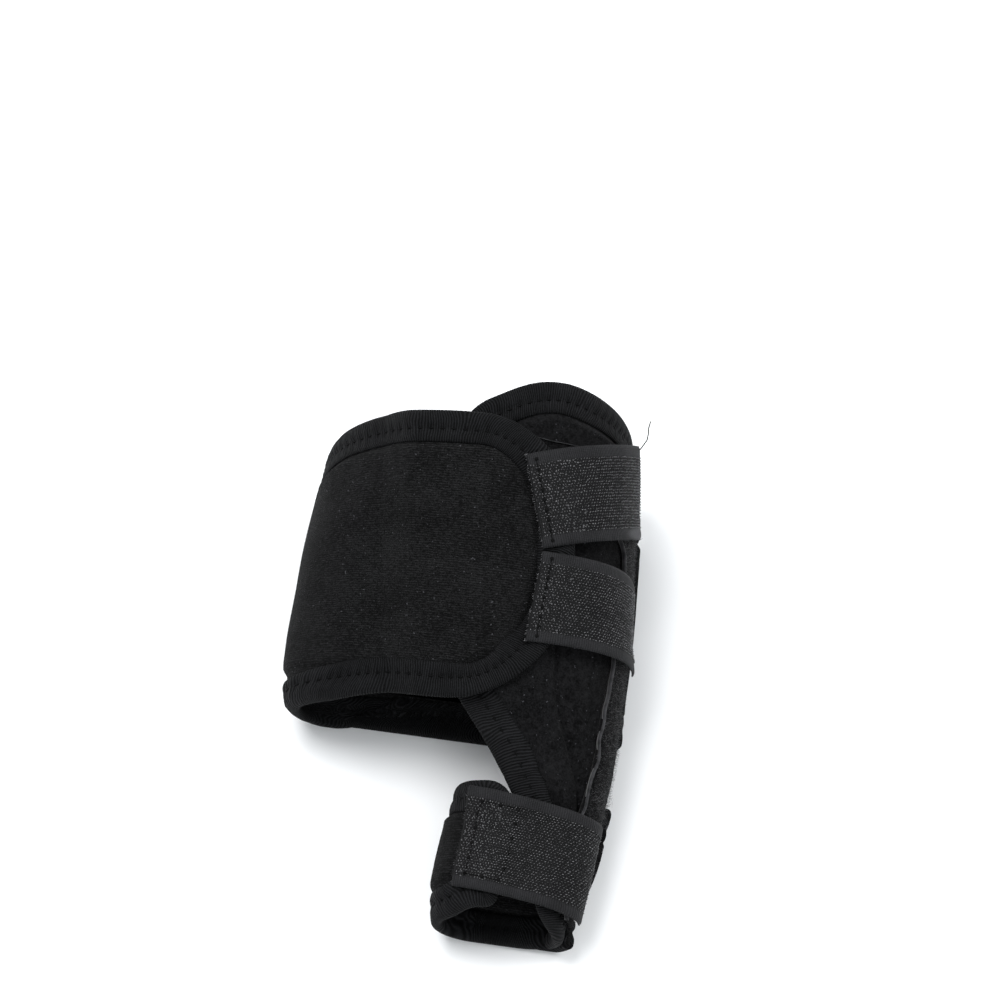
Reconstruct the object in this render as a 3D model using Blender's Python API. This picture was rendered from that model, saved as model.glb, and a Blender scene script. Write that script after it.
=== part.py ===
"""Bunion corrector, the right one of a pair: a padded toe wrap and instep wrap, closed by hook straps.

Metres, +Z up. The toe end points to -Y and the inner side is at +X. Every piece is cut flat and then
wrapped round one form, the way the real brace is sewn and then closed.
"""

import math

import bmesh
import bpy
import numpy as np
from mathutils import Vector

COLLECTION = "bunion_corrector"
GAP = 0.0003  # air between pieces that touch

# The form that the brace is closed on
TOE_LENGTH = 0.040
TOE_WIDTH = 0.036
TOE_HEIGHT = 0.0247
FOOT_LENGTH = 0.112
BALL_WIDTH = 0.087
INSTEP_HEIGHT = 0.0675

# Cloth
PAD = 0.0035  # laminated foam cloth
SEAM_CORE = 0.0012  # the same cloth pressed flat inside the edge tape
TAPE = 0.0008
TAPE_LEAF = 0.0075  # width of the tape on each face
TAPE_EASE = 0.0004  # between the tape's edge and the pressed step
PRESSED_STEP = 0.0010
LOOP_CLOTH = 0.0012
HOOK_TAPE = 0.0012

# Instep band: from the inner wall, under the sole, up the outer side and over the instep
BAND_FRONT = 0.0560
BAND_WIDTH = 0.0736
FLAP_REACH = 0.0130  # how far its end passes the crown
FLAP_FRONT_ROUND = 0.034
FLAP_REAR_ROUND = 0.022

# Toe wrap: the same way round, at the toe end
TOE_WRAP_FRONT = 0.0010
TOE_WRAP_WIDTH = 0.0380
TOE_FLAP_REACH = -0.0018  # its end stops short of the crown
TOE_FLAP_ROUND = 0.0105

# Side panel along the inner side
PANEL_FRONT = 0.0012
PANEL_REAR = 0.1408
PANEL_TOE_EDGE = 0.0095  # from the crown to its upper edge at the toe end
PANEL_TONGUE = 0.0160  # how far it lies past the crown under the flap
DIAGONAL_FRONT = 0.0189  # where its upper edge turns aslant
DIAGONAL_TUCK = 0.0063  # how far that slanting edge runs on under the flap
TONGUE_REAR = 0.1295
PANEL_CREST = 0.0070  # from the crown to its rearmost point
PANEL_WALL_REAR = 0.1403
PANEL_FOOT_REAR = 0.1375
PANEL_TOE_ROUND = 0.0105
PANEL_TONGUE_ROUND = 0.015
PANEL_REAR_ROUND = 0.035

# Loop cloth on the side panel
LOOP_SPAN = 0.030  # from the crown to the middle of its upper edge
LOOP_FRONT = 0.0060
LOOP_REAR = 0.1250
LOOP_STEP = 0.0030  # how its upper edge steps back on the way to the flap
LOOP_BEND = 0.010
LOOP_CORNER = 0.003

# Hook straps
STRAP_WIDTH = 0.0228  # seen level: 25 mm tape on the slope of the instep
STRAP_JOINT = 0.0982  # where the corners of the two instep straps meet on the flap
STRAP_SEAT = 0.0065  # from the crown to that joint
STRAP_CUT = 0.18  # their sewn ends are cut aslant, by this share of their width
REAR_STRAP_LENGTH = 0.040
REAR_STRAP_TURN = math.radians(21)
FRONT_STRAP_LENGTH = 0.0335
FRONT_STRAP_TURN = math.radians(1.5)
TOE_STRAP_WIDTH = 0.0273
TOE_STRAP_LENGTH = 0.0325
TOE_STRAP_TURN = math.radians(-6.3)
TOE_STRAP_CUT = -0.10
TOE_STRAP_SEAT = 0.0118  # from the crown to its sewn end, on the outer side
TOE_STRAP_MIDDLE = 0.0236

# Sections of the toe tunnel: place along TOE_LENGTH, inner side in BALL_WIDTH, width and crown (from the inner
# side) in TOE_WIDTH, height in TOE_HEIGHT, height of the widest points in the section's own height,
# round of the sole's edges in the section's own width
TOE_SECTIONS = [
    # along, inner side, width, crown, height, inner bulge, outer bulge, sole edge
    (-0.10, 0.393, 0.780, 0.370, 0.640, 0.47, 0.47, 0.26),
    (0.285, 0.409, 0.885, 0.433, 0.731, 0.47, 0.47, 0.25),
    (0.71, 0.442, 0.925, 0.488, 0.846, 0.50, 0.50, 0.19),
    (1.00, 0.458, 0.925, 0.527, 1.000, 0.50, 0.46, 0.15),
]
# Sections behind it: place along FOOT_LENGTH from the toe tunnel's rear, the x places in BALL_WIDTH, height
# in INSTEP_HEIGHT, and the last three columns as above
FOOT_SECTIONS = [
    # along, outer side, inner side, crown, height, inner bulge, outer bulge, sole edge
    (0.085, -0.240, 0.468, 0.224, 0.415, 0.475, 0.40, 0.18),
    (0.170, -0.524, 0.470, 0.197, 0.465, 0.455, 0.364, 0.15),
    (0.364, -0.535, 0.465, 0.164, 0.591, 0.43, 0.31, 0.15),
    (0.576, -0.524, 0.448, 0.131, 0.732, 0.385, 0.29, 0.15),
    (0.788, -0.502, 0.428, 0.098, 0.873, 0.355, 0.274, 0.15),
    (1.000, -0.459, 0.404, 0.076, 1.000, 0.34, 0.254, 0.15),
]
INSTEP_POWER = 2.2  # exponent of the rounded top half of a section

# A section is walked from its crown: inner top, inner corner, sole, outer corner, outer top
STRETCH_CELLS = (8, 4, 2, 4, 8)
ROUND_CELLS = sum(STRETCH_CELLS)
INNER_WALL = STRETCH_CELLS[0]
SOLE_INNER = INNER_WALL + STRETCH_CELLS[1]
SOLE_OUTER = SOLE_INNER + STRETCH_CELLS[2]
OUTER_WALL = SOLE_OUTER + STRETCH_CELLS[3]
SPACING = 0.024  # longest step along a cut edge
ARC_STEP = math.radians(26)
TOE_CELLS = 5
ROOT_CELLS = 3
FOOT_CELLS = 9

# Cell lines that the pieces end on, low on the inner wall
LOOP_FOOT = INNER_WALL + 0.5
LAP_TOP = INNER_WALL + 0.9
PANEL_FOOT = INNER_WALL + 1.8
PANEL_CLEAR = INNER_WALL + 2
LAP_DOWN = INNER_WALL + 3
# and on the outer side of the crown, where the flap comes down off the side panel
TONGUE_CLEAR = -3
TONGUE_DOWN = -4
# Cells over which a strap comes down past the flap's end, and climbs onto the loop cloth
FLAP_DROP = 3
LOOP_CLIMB = 2
FOOT_STEPS = 16  # along the loop cloth's lower edge

# Edges of the band and the toe wrap: cell line round the form, then the front and the rear edge as
# shares of the piece's width
BAND_EDGES = [
    # round, front, rear
    (LAP_TOP - ROUND_CELLS, 0.03, 0.93),
    (SOLE_INNER - ROUND_CELLS, 0.02, 0.93),
    (SOLE_OUTER - ROUND_CELLS, 0.02, 0.93),
    (OUTER_WALL - ROUND_CELLS, 0.015, 0.945),
    (-6, 0.018, 0.985),
    (-4, 0.042, 1.000),
]
TOE_WRAP_EDGES = [
    # round, front, rear
    (LAP_TOP - ROUND_CELLS, 0.02, 1.00),
    (SOLE_INNER - ROUND_CELLS, 0.00, 1.00),
    (SOLE_OUTER - ROUND_CELLS, 0.00, 1.00),
    (OUTER_WALL - ROUND_CELLS, 0.02, 0.97),
    (-5, 0.055, 0.97),
    (-3, 0.135, 0.97),
]
# Upper edge of the loop cloth, from the toe to the rear: place round the form in LOOP_SPAN and along
# it in PANEL_REAR
LOOP_EDGE = [
    # round, along
    (0.50, 0.238),
    (0.55, 0.292),
    (0.65, 0.355),
    (0.76, 0.422),
    (0.84, 0.490),
    (0.95, 0.600),
    (1.06, 0.710),
    (1.09, 0.765),
]


def eased(places, values, at):
    """Reads a smooth curve through the rows of a table, with no overshoot between two rows."""
    k = int(np.clip(np.searchsorted(places, at) - 1, 0, len(places) - 2))
    slopes = np.diff(values) / np.diff(places)

    def lean(n):
        if n in (0, len(slopes)):
            return slopes[min(n, len(slopes) - 1)]
        before, after = slopes[n - 1], slopes[n]
        return 0.0 if before * after <= 0 else 2 * before * after / (before + after)

    span = places[k + 1] - places[k]
    u = (at - places[k]) / span
    if not 0 <= u <= 1:
        end = min(max(u, 0), 1)
        return values[k + int(end)] + lean(k + int(end)) * (u - end) * span
    ends = (2 * u**3 - 3 * u**2 + 1) * values[k] + (3 * u**2 - 2 * u**3) * values[k + 1]
    return ends + ((u**3 - 2 * u**2 + u) * lean(k) + (u**3 - u**2) * lean(k + 1)) * span


def form_table():
    """The two tables in metres: along, outer x, inner x, crown x, height, bulges, sole edge."""
    rows = []
    for along, inner, width, crown, height, inner_bulge, outer_bulge, edge in TOE_SECTIONS:
        x = inner * BALL_WIDTH
        sides = (x - width * TOE_WIDTH, x, x - crown * TOE_WIDTH)
        rows.append((along * TOE_LENGTH, *sides, height * TOE_HEIGHT, inner_bulge, outer_bulge, edge))
    for along, outer, inner, crown, height, inner_bulge, outer_bulge, edge in FOOT_SECTIONS:
        sides = (outer * BALL_WIDTH, inner * BALL_WIDTH, crown * BALL_WIDTH)
        start = TOE_LENGTH + along * FOOT_LENGTH
        rows.append((start, *sides, height * INSTEP_HEIGHT, inner_bulge, outer_bulge, edge))
    return np.array(rows)


FORM = form_table()


def section(t):
    """The form's section t behind its front, as one point for each cell line round it."""
    outer, inner, crown, top, inner_bulge, outer_bulge, edge = (
        eased(FORM[:, 0], FORM[:, column], t) for column in range(1, FORM.shape[1])
    )
    inner_z = inner_bulge * top
    outer_z = outer_bulge * top
    edge_x = edge * (inner - outer)
    power = 2 / INSTEP_POWER
    q = np.linspace(0, math.pi / 2, 40)
    sine, cosine = np.abs(np.sin(q)), np.abs(np.cos(q))
    stretches = (
        (crown + (inner - crown) * sine**power, inner_z + (top - inner_z) * cosine**power),
        (inner - edge_x + edge_x * cosine, inner_z * (1 - sine)),
        (np.linspace(inner - edge_x, outer + edge_x, 3), np.zeros(3)),
        (outer + edge_x - edge_x * sine, outer_z * (1 - cosine)),
        (crown - (crown - outer) * cosine**power, outer_z + (top - outer_z) * sine**power),
    )
    points = []
    for cells, (x, z) in zip(STRETCH_CELLS, stretches):
        run = np.concatenate([[0], np.cumsum(np.hypot(np.diff(x), np.diff(z)))])
        stops = np.linspace(0, run[-1], cells, endpoint=False)
        points.append(np.stack([np.interp(stops, run, x), np.full(cells, t), np.interp(stops, run, z)], 1))
    return np.concatenate(points)


def form_lattice():
    """Cell lines along the form, and its points and outward normals where the lines cross."""
    root = FORM[len(TOE_SECTIONS) + 1, 0]
    lines = np.concatenate(
        [
            np.linspace(FORM[0, 0], TOE_LENGTH, TOE_CELLS, endpoint=False),
            np.linspace(TOE_LENGTH, root, ROOT_CELLS, endpoint=False),
            np.linspace(root, PANEL_REAR + PAD, FOOT_CELLS + 1),
        ]
    )
    points = np.array([section(t) for t in lines])
    small = 0.0002
    along = np.array([section(t + small) - section(t - small) for t in lines])
    around = np.roll(points, -1, axis=1) - np.roll(points, 1, axis=1)
    normals = np.cross(around, along)
    normals[:, SOLE_INNER : SOLE_OUTER + 1] = (0, 0, -1)
    return lines, points, normals / np.linalg.norm(normals, axis=2, keepdims=True)


LINES, POINTS, NORMALS = form_lattice()


def place(i, j, h):
    """The point h off the form at cell line i round the section and j along it."""
    a, b = math.floor(i), min(max(math.floor(j), 0), len(LINES) - 2)
    point = np.zeros(3)
    for across, share in ((a, 1 - (i - a)), (a + 1, i - a)):
        for line, part in ((b, 1 - (j - b)), (b + 1, j - b)):
            around = across % ROUND_CELLS
            point += share * part * (POINTS[line, around] + h * NORMALS[line, around])
    return point


def line_at(t):
    """Cell line along the form, t behind its front."""
    b = min(max(int(np.searchsorted(LINES, t)) - 1, 0), len(LINES) - 2)
    return b + (t - LINES[b]) / (LINES[b + 1] - LINES[b])


def girths(t):
    """Lengths from the crown to each cell line, round the form both ways."""
    j = line_at(t)
    walk = [place(i, j, 0) for i in range(-ROUND_CELLS, ROUND_CELLS + 1)]
    steps = np.linalg.norm(np.diff(walk, axis=0), axis=1)
    run = np.concatenate([[0], np.cumsum(steps)])
    return run - run[ROUND_CELLS]


def cell_of(s, t):
    """Cell place of the point s from the crown (inner side +) and t behind its front."""
    return np.array([np.interp(s, girths(t), range(-ROUND_CELLS, ROUND_CELLS + 1)), line_at(t)])


def girth_at(i, t):
    """Length from the crown to the cell line i."""
    return float(np.interp(i, range(-ROUND_CELLS, ROUND_CELLS + 1), girths(t)))


def rounded(corners):
    """Runs straight from corner to corner (s, t, radius), each rounded by an arc, in steps of SPACING at most."""
    spots = np.array([corner[:2] for corner in corners])
    runs = np.linalg.norm(np.diff(spots, axis=0), axis=1)
    ahead = np.diff(spots, axis=0) / runs[:, None]
    halves = np.arccos(np.clip(-(ahead[:-1] * ahead[1:]).sum(axis=1), -1, 1)) / 2
    wanted = np.zeros(len(corners))
    for k, half in enumerate(halves, 1):
        if half < 1.55:
            wanted[k] = corners[k][2] / math.tan(half)
    # Two arcs that need more than the run between them share it
    share = 0.96 * runs / np.maximum(wanted[:-1] + wanted[1:], 0.96 * runs)
    path = [spots[0]]
    for k, half in enumerate(halves, 1):
        here, back, on = spots[k], -ahead[k - 1], ahead[k]
        tangent = wanted[k] * min(share[k - 1], share[k])
        if tangent == 0:
            path.append(here)
            continue
        centre = here + (back + on) / np.linalg.norm(back + on) * tangent / math.cos(half)
        first, last = here + back * tangent - centre, here + on * tangent - centre
        turn = math.pi - 2 * half
        steps = max(2, round(turn / ARC_STEP))
        for step in range(steps + 1):
            w = step / steps
            near = (math.sin((1 - w) * turn) * first + math.sin(w * turn) * last) / math.sin(turn)
            path.append(centre + near)
    path.append(spots[-1])
    spread = [path[0]]
    for a, b in zip(path, path[1:]):
        count = max(1, math.ceil(np.linalg.norm(b - a) / SPACING))
        spread += [a + (b - a) * k / count for k in range(1, count + 1)]
    return spread


def inward(path):
    """For each cell place of a path, the cell step that goes 1 m to its right over the form."""
    steps = []
    for k, (i, j) in enumerate(path):
        before, after = path[max(k - 1, 0)], path[min(k + 1, len(path) - 1)]
        around = place(i + 0.5, j, 0) - place(i - 0.5, j, 0)
        along = place(i, j + 0.5, 0) - place(i, j - 0.5, 0)
        run = (after[0] - before[0]) * around + (after[1] - before[1]) * along
        side = np.cross(run, np.cross(around, along))
        side /= np.linalg.norm(side)
        steps.append(np.linalg.lstsq(np.stack([around, along], 1), side, rcond=None)[0])
    return np.array(steps)


def cut_on_cell_lines(bm):
    """Cuts a flat piece on every cell line, so that all pieces bend on the same lines."""
    for axis in (0, 1):
        low = min(v.co[axis] for v in bm.verts)
        high = max(v.co[axis] for v in bm.verts)
        for line in range(math.ceil(low + 0.05), math.ceil(high - 0.05)):
            at, normal = Vector(), Vector()
            at[axis], normal[axis] = line, 1
            geometry = bm.verts[:] + bm.edges[:] + bm.faces[:]
            bmesh.ops.bisect_plane(bm, geom=geometry, dist=0.04, plane_co=at, plane_no=normal)


def principled(name, colour, roughness):
    material = bpy.data.materials.new(name)
    material.use_nodes = True
    shader = material.node_tree.nodes["Principled BSDF"]
    shader.inputs["Base Color"].default_value = (*colour, 1)
    shader.inputs["Roughness"].default_value = roughness
    shader.inputs["Metallic"].default_value = 0
    return material


def finished(bm, name, colour, roughness):
    """Turns the wrapped mesh into the named object."""
    bmesh.ops.triangulate(bm, faces=bm.faces[:])
    bmesh.ops.recalc_face_normals(bm, faces=bm.faces[:])
    mesh = bpy.data.meshes.new(name)
    bm.to_mesh(mesh)
    bm.free()
    mesh.materials.append(principled(name + "_cloth", colour, roughness))
    piece = bpy.data.objects.new(name, mesh)
    bpy.data.collections[COLLECTION].objects.link(piece)
    return piece


def thickened(bm, bottom, thickness):
    """Gives a flat piece its thickness and wraps it: a point's z is 0 where it is pressed, 1 where full."""
    made = bmesh.ops.extrude_face_region(bm, geom=bm.faces[:])
    upper = {v for v in made["geom"] if isinstance(v, bmesh.types.BMVert)}
    for v in bm.verts:
        i, j, full = v.co
        half = (SEAM_CORE + (thickness - SEAM_CORE) * full) / 2
        h = bottom(i) + thickness / 2 + (half if v in upper else -half)
        v.co = place(i, j, h)


def bound_pad(name, edge, bottom, colour, roughness):
    """A padded piece whose edge is pressed flat to take the tape. Its other edge is straight and raw."""
    path = [cell_of(*point) for point in edge]
    side = inward(path)
    margin = TAPE_LEAF + TAPE_EASE
    bm = bmesh.new()
    rings = []
    for distance, full in ((0, 0), (margin, 0), (margin + PRESSED_STEP, 1)):
        rings.append([bm.verts.new((*(p + distance * n), full)) for p, n in zip(path, side)])
    for a, b in zip(rings, rings[1:]):
        for k in range(len(path) - 1):
            bm.faces.new((a[k], a[k + 1], b[k + 1], b[k]))
    bm.faces.new(rings[-1])
    cut_on_cell_lines(bm)
    thickened(bm, bottom, PAD)
    return finished(bm, name, colour, roughness)


def edge_tape(name, edge, bottom, colour, roughness):
    """Ribbed elastic tape folded over a pressed edge: a U of two leaves and a round nose."""
    path = [cell_of(*point) for point in edge]
    side = inward(path)
    inner = SEAM_CORE / 2 + GAP
    outer = inner + TAPE
    profile = [
        # inner face of the tape (inside the edge, height), then its outer face
        ((TAPE_LEAF, -inner), (TAPE_LEAF, -outer)),
        ((0, -inner), (-TAPE / 2, -outer)),
        ((-GAP, -inner / 2), (-GAP - TAPE, -inner / 2)),
        ((-GAP, inner / 2), (-GAP - TAPE, inner / 2)),
        ((0, inner), (-TAPE / 2, outer)),
        ((TAPE_LEAF, inner), (TAPE_LEAF, outer)),
    ]
    columns, rows = len(path) - 1, len(profile) - 1
    bm = bmesh.new()
    bmesh.ops.create_grid(bm, x_segments=columns, y_segments=rows, size=1)
    made = bmesh.ops.extrude_face_region(bm, geom=bm.faces[:])
    upper = {v for v in made["geom"] if isinstance(v, bmesh.types.BMVert)}
    for v in bm.verts:
        column = round((v.co.x + 1) / 2 * columns)
        distance, h = profile[round((v.co.y + 1) / 2 * rows)][v in upper]
        flat = path[column] + distance * side[column]
        v.co = (*flat, h * 1000)
    cut_on_cell_lines(bm)
    for v in bm.verts:
        i, j, h = v.co
        v.co = place(i, j, bottom(i) + PAD / 2 + h / 1000)
    return finished(bm, name, colour, roughness)


def plain_sheet(name, edge, bottom, thickness, colour, roughness):
    """A piece of one thickness, cut to a closed outline."""
    bm = bmesh.new()
    bm.faces.new([bm.verts.new((*cell_of(*point), 1)) for point in edge[:-1]])
    cut_on_cell_lines(bm)
    thickened(bm, bottom, thickness)
    return finished(bm, name, colour, roughness)


def ramp(*stops):
    """A height that goes straight from stop to stop (cell line, height) round the form."""
    lines, heights = zip(*stops)
    return lambda i: float(np.interp(i, lines, heights))


def band_edge(edges, front, width, reach, rounds):
    """Rear edge of a band, its rounded end past the crown, and the front edge back."""
    front_end = (reach, front + edges[-1][1] * width, rounds[0])
    rear_end = (reach, front + edges[-1][2] * width, rounds[1])
    rear, forward = [], []
    for i, front_share, rear_share in edges:
        for run, share in ((rear, rear_share), (forward, front_share)):
            t = front + share * width
            run.append((girth_at(i, t), t, width))
    return rounded([*rear, rear_end, front_end, *forward[::-1]])


def instep_band():
    on_panel = PAD + GAP
    bottom = ramp(
        (PANEL_CLEAR - ROUND_CELLS, on_panel),
        (LAP_DOWN - ROUND_CELLS, 0),
        (TONGUE_DOWN, 0),
        (TONGUE_CLEAR, on_panel),
    )
    rounds = (FLAP_FRONT_ROUND, FLAP_REAR_ROUND)
    edge = band_edge(BAND_EDGES, BAND_FRONT, BAND_WIDTH, FLAP_REACH, rounds)
    bound_pad("instep_band", edge, bottom, (0.020, 0.020, 0.022), 0.9)
    edge_tape("instep_band_tape", edge, bottom, (0.015, 0.015, 0.017), 0.8)


def toe_wrap():
    on_panel = PAD + GAP
    bottom = ramp((PANEL_CLEAR - ROUND_CELLS, on_panel), (LAP_DOWN - ROUND_CELLS, 0))
    rounds = (TOE_FLAP_ROUND, TOE_FLAP_ROUND)
    edge = band_edge(TOE_WRAP_EDGES, TOE_WRAP_FRONT, TOE_WRAP_WIDTH, TOE_FLAP_REACH, rounds)
    bound_pad("toe_wrap", edge, bottom, (0.022, 0.022, 0.024), 0.9)
    edge_tape("toe_wrap_tape", edge, bottom, (0.015, 0.015, 0.017), 0.8)


def side_panel():
    edge = rounded(
        [
            (girth_at(PANEL_FOOT, PANEL_FRONT), PANEL_FRONT, 0),
            (PANEL_TOE_EDGE, PANEL_FRONT, PANEL_TOE_ROUND),
            (PANEL_TOE_EDGE, DIAGONAL_FRONT, PANEL_TOE_ROUND),
            (-PANEL_TONGUE, BAND_FRONT + DIAGONAL_TUCK, PANEL_TONGUE_ROUND),
            (-PANEL_TONGUE, TONGUE_REAR, PANEL_TONGUE_ROUND),
            (PANEL_CREST, PANEL_REAR, PANEL_REAR_ROUND),
            (girth_at(INNER_WALL, PANEL_WALL_REAR), PANEL_WALL_REAR, PANEL_REAR_ROUND),
            (girth_at(PANEL_FOOT, PANEL_FOOT_REAR), PANEL_FOOT_REAR, 0),
        ]
    )
    flat = ramp((0, 0))
    bound_pad("side_panel", edge, flat, (0.018, 0.018, 0.019), 0.95)
    edge_tape("side_panel_tape", edge, flat, (0.015, 0.015, 0.017), 0.8)


def flap_nose():
    """From the crown to the outside of the tape on the flap's end."""
    return FLAP_REACH + GAP + TAPE


def loop_panel():
    past_flap = flap_nose() + 2 * GAP
    edge = [(share * LOOP_SPAN, along * PANEL_REAR, LOOP_BEND) for share, along in LOOP_EDGE]
    low_front = girth_at(LOOP_FOOT, LOOP_FRONT)
    low_rear = girth_at(LOOP_FOOT, LOOP_REAR)
    corners = [
        (low_front, LOOP_FRONT, 0),
        (edge[0][0], LOOP_FRONT, LOOP_CORNER),
        *edge,
        (past_flap, edge[-1][1] + LOOP_STEP, LOOP_CORNER),
        (past_flap, LOOP_REAR, LOOP_CORNER),
        (low_rear, LOOP_REAR, 0),
    ]
    for k in range(1, FOOT_STEPS):
        t = LOOP_REAR + (LOOP_FRONT - LOOP_REAR) * k / FOOT_STEPS
        corners.append((girth_at(LOOP_FOOT, t), t, 0))
    corners.append(corners[0])
    bottom = ramp((0, PAD + GAP))
    plain_sheet("loop_panel", rounded(corners), bottom, LOOP_CLOTH, (0.09, 0.09, 0.095), 1.0)


def strap_frame(width, turn, cut):
    """A strap's way on, and the way from its middle to its rear side, which starts further on by the cut."""
    on = np.array([math.cos(turn), math.sin(turn)])
    side = np.array([-math.sin(turn), math.cos(turn)]) * width / 2
    return on, side, on * cut * width / 2


def strap_edge(start, width, length, turn, cut):
    """Closed outline of a strap from the middle of its sewn end, turned backwards by an angle."""
    on, side, slip = strap_frame(width, turn, cut)
    start = np.array(start)
    far = start + on * length
    corners = [start - side - slip, far - side, far + side, start + side + slip]
    return rounded([(*corner, 0) for corner in [*corners, corners[0]]])


def straps():
    on_flap = 2 * (PAD + GAP)
    on_loops = PAD + LOOP_CLOTH + 2 * GAP
    nose = flap_nose() + GAP
    off_flap = math.ceil(max(cell_of(nose, t)[0] for t in LINES[LINES > BAND_FRONT]))
    bottom = ramp((off_flap, on_flap), (off_flap + FLAP_DROP, on_loops))
    joint = np.array([STRAP_SEAT, STRAP_JOINT])
    colour, roughness = (0.045, 0.045, 0.048), 0.6
    for name, length, turn, way in (
        ("rear_strap", REAR_STRAP_LENGTH, REAR_STRAP_TURN, 1),
        ("front_strap", FRONT_STRAP_LENGTH, FRONT_STRAP_TURN, -1),
    ):
        on, side, slip = strap_frame(STRAP_WIDTH, turn, STRAP_CUT)
        start = joint + way * (np.array([0, GAP]) + side + slip)
        edge = strap_edge(start, STRAP_WIDTH, length, turn, STRAP_CUT)
        plain_sheet(name, edge, bottom, HOOK_TAPE, colour, roughness)


def toe_strap():
    on_pads = PAD + GAP
    on_loops = on_pads + LOOP_CLOTH + GAP
    loop_edge = LOOP_EDGE[0][0] * LOOP_SPAN
    on_line = math.floor(min(cell_of(loop_edge, t)[0] for t in LINES[: TOE_CELLS + 1]))
    bottom = ramp((on_line - LOOP_CLIMB, on_pads), (on_line, on_loops))
    start = (-TOE_STRAP_SEAT, TOE_STRAP_MIDDLE)
    edge = strap_edge(start, TOE_STRAP_WIDTH, TOE_STRAP_LENGTH, TOE_STRAP_TURN, TOE_STRAP_CUT)
    plain_sheet("toe_strap", edge, bottom, HOOK_TAPE, (0.045, 0.045, 0.048), 0.6)


def stand_on_origin(pieces):
    """Moves all the pieces so that they stand on z = 0 with the middle of their box on the Z axis."""
    corners = np.array([v.co for piece in pieces for v in piece.data.vertices])
    low, high = corners.min(axis=0), corners.max(axis=0)
    middle = (low + high) / 2
    root = bpy.data.objects.new("form_root", None)
    bpy.data.collections[COLLECTION].objects.link(root)
    root.location = (-middle[0], -middle[1], -low[2])
    for piece in pieces:
        piece.parent = root


def main():
    for old in list(bpy.data.objects):
        bpy.data.objects.remove(old)
    collection = bpy.data.collections.new(COLLECTION)
    bpy.context.scene.collection.children.link(collection)
    for make in (side_panel, loop_panel, instep_band, toe_wrap, straps, toe_strap):
        make()
    stand_on_origin(list(collection.objects))


main()
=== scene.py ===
import contextlib
import math

import bmesh
import bpy
import numpy as np
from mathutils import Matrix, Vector
from mathutils.kdtree import KDTree


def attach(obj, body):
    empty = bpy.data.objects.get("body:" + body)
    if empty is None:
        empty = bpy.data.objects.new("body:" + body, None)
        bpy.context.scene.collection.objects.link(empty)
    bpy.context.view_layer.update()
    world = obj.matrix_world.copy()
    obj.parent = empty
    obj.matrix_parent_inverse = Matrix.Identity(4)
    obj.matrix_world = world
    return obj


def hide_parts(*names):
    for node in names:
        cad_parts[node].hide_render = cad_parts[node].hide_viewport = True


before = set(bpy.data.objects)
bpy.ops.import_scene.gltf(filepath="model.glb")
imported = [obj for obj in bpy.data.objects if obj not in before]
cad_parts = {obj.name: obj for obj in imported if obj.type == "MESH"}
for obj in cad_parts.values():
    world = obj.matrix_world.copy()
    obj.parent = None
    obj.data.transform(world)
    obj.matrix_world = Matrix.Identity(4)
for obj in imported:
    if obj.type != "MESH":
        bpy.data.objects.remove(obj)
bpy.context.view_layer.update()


# The studio: a pale sheet that runs on as a backdrop, soft light from above and both sides, and a
# long lens that looks down on the brace from its front.
TARGET = Vector((0.00553, 0.04992, 0.02725))
AZIMUTH = math.radians(8)
ELEVATION = math.radians(67)
DISTANCE = 0.760
FRAME_PIXELS = 1001
FOCAL_PIXELS = 2680
SENSOR = 36.0
FLOOR_SIZE = 6.0
PAPER = (0.93, 0.94, 0.95)
AIR = (0.95, 0.98, 1.0)
AIR_STRENGTH = 0.62

camera = bpy.data.objects.new("studio_camera", bpy.data.cameras.new("studio_camera"))
bpy.context.scene.collection.objects.link(camera)
back = Vector(
    (
        math.sin(AZIMUTH) * math.cos(ELEVATION),
        -math.cos(AZIMUTH) * math.cos(ELEVATION),
        math.sin(ELEVATION),
    )
)
camera.location = TARGET + back * DISTANCE
camera.rotation_euler = (-back).to_track_quat("-Z", "Y").to_euler()
camera.data.sensor_width = SENSOR
camera.data.lens = FOCAL_PIXELS / FRAME_PIXELS * SENSOR
camera.data.clip_start = 0.01
camera.data.clip_end = 50
bpy.context.scene.camera = camera

bpy.ops.mesh.primitive_plane_add(size=FLOOR_SIZE, location=(0, 0, 0))
floor = bpy.context.object
floor.name = "paper_floor"
paper = bpy.data.materials.new("white_paper")
paper.use_nodes = True
paper_shader = paper.node_tree.nodes["Principled BSDF"]
paper_shader.inputs["Base Color"].default_value = (*PAPER, 1)
paper_shader.inputs["Roughness"].default_value = 0.7
floor.data.materials.append(paper)

world = bpy.data.worlds.new("studio_air")
bpy.context.scene.world = world
world.use_nodes = True
air = world.node_tree.nodes["Background"].inputs
air["Color"].default_value = (*AIR, 1)
air["Strength"].default_value = AIR_STRENGTH
bpy.context.scene.view_settings.view_transform = "Standard"


def softbox(name, place, size, watts):
    """A square area light that looks at the brace."""
    light = bpy.data.lights.new(name, "AREA")
    light.size = size
    light.energy = watts
    lamp = bpy.data.objects.new(name, light)
    bpy.context.scene.collection.objects.link(lamp)
    lamp.location = place
    lamp.rotation_euler = (TARGET - Vector(place)).to_track_quat("-Z", "Y").to_euler()


softbox("key_light", (-0.42, 0.30, 1.10), 0.60, 12.0)
softbox("rim_light", (0.85, 0.45, 0.85), 0.60, 7.0)
softbox("front_light", (0.10, -1.10, 0.70), 0.80, 2.5)


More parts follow.
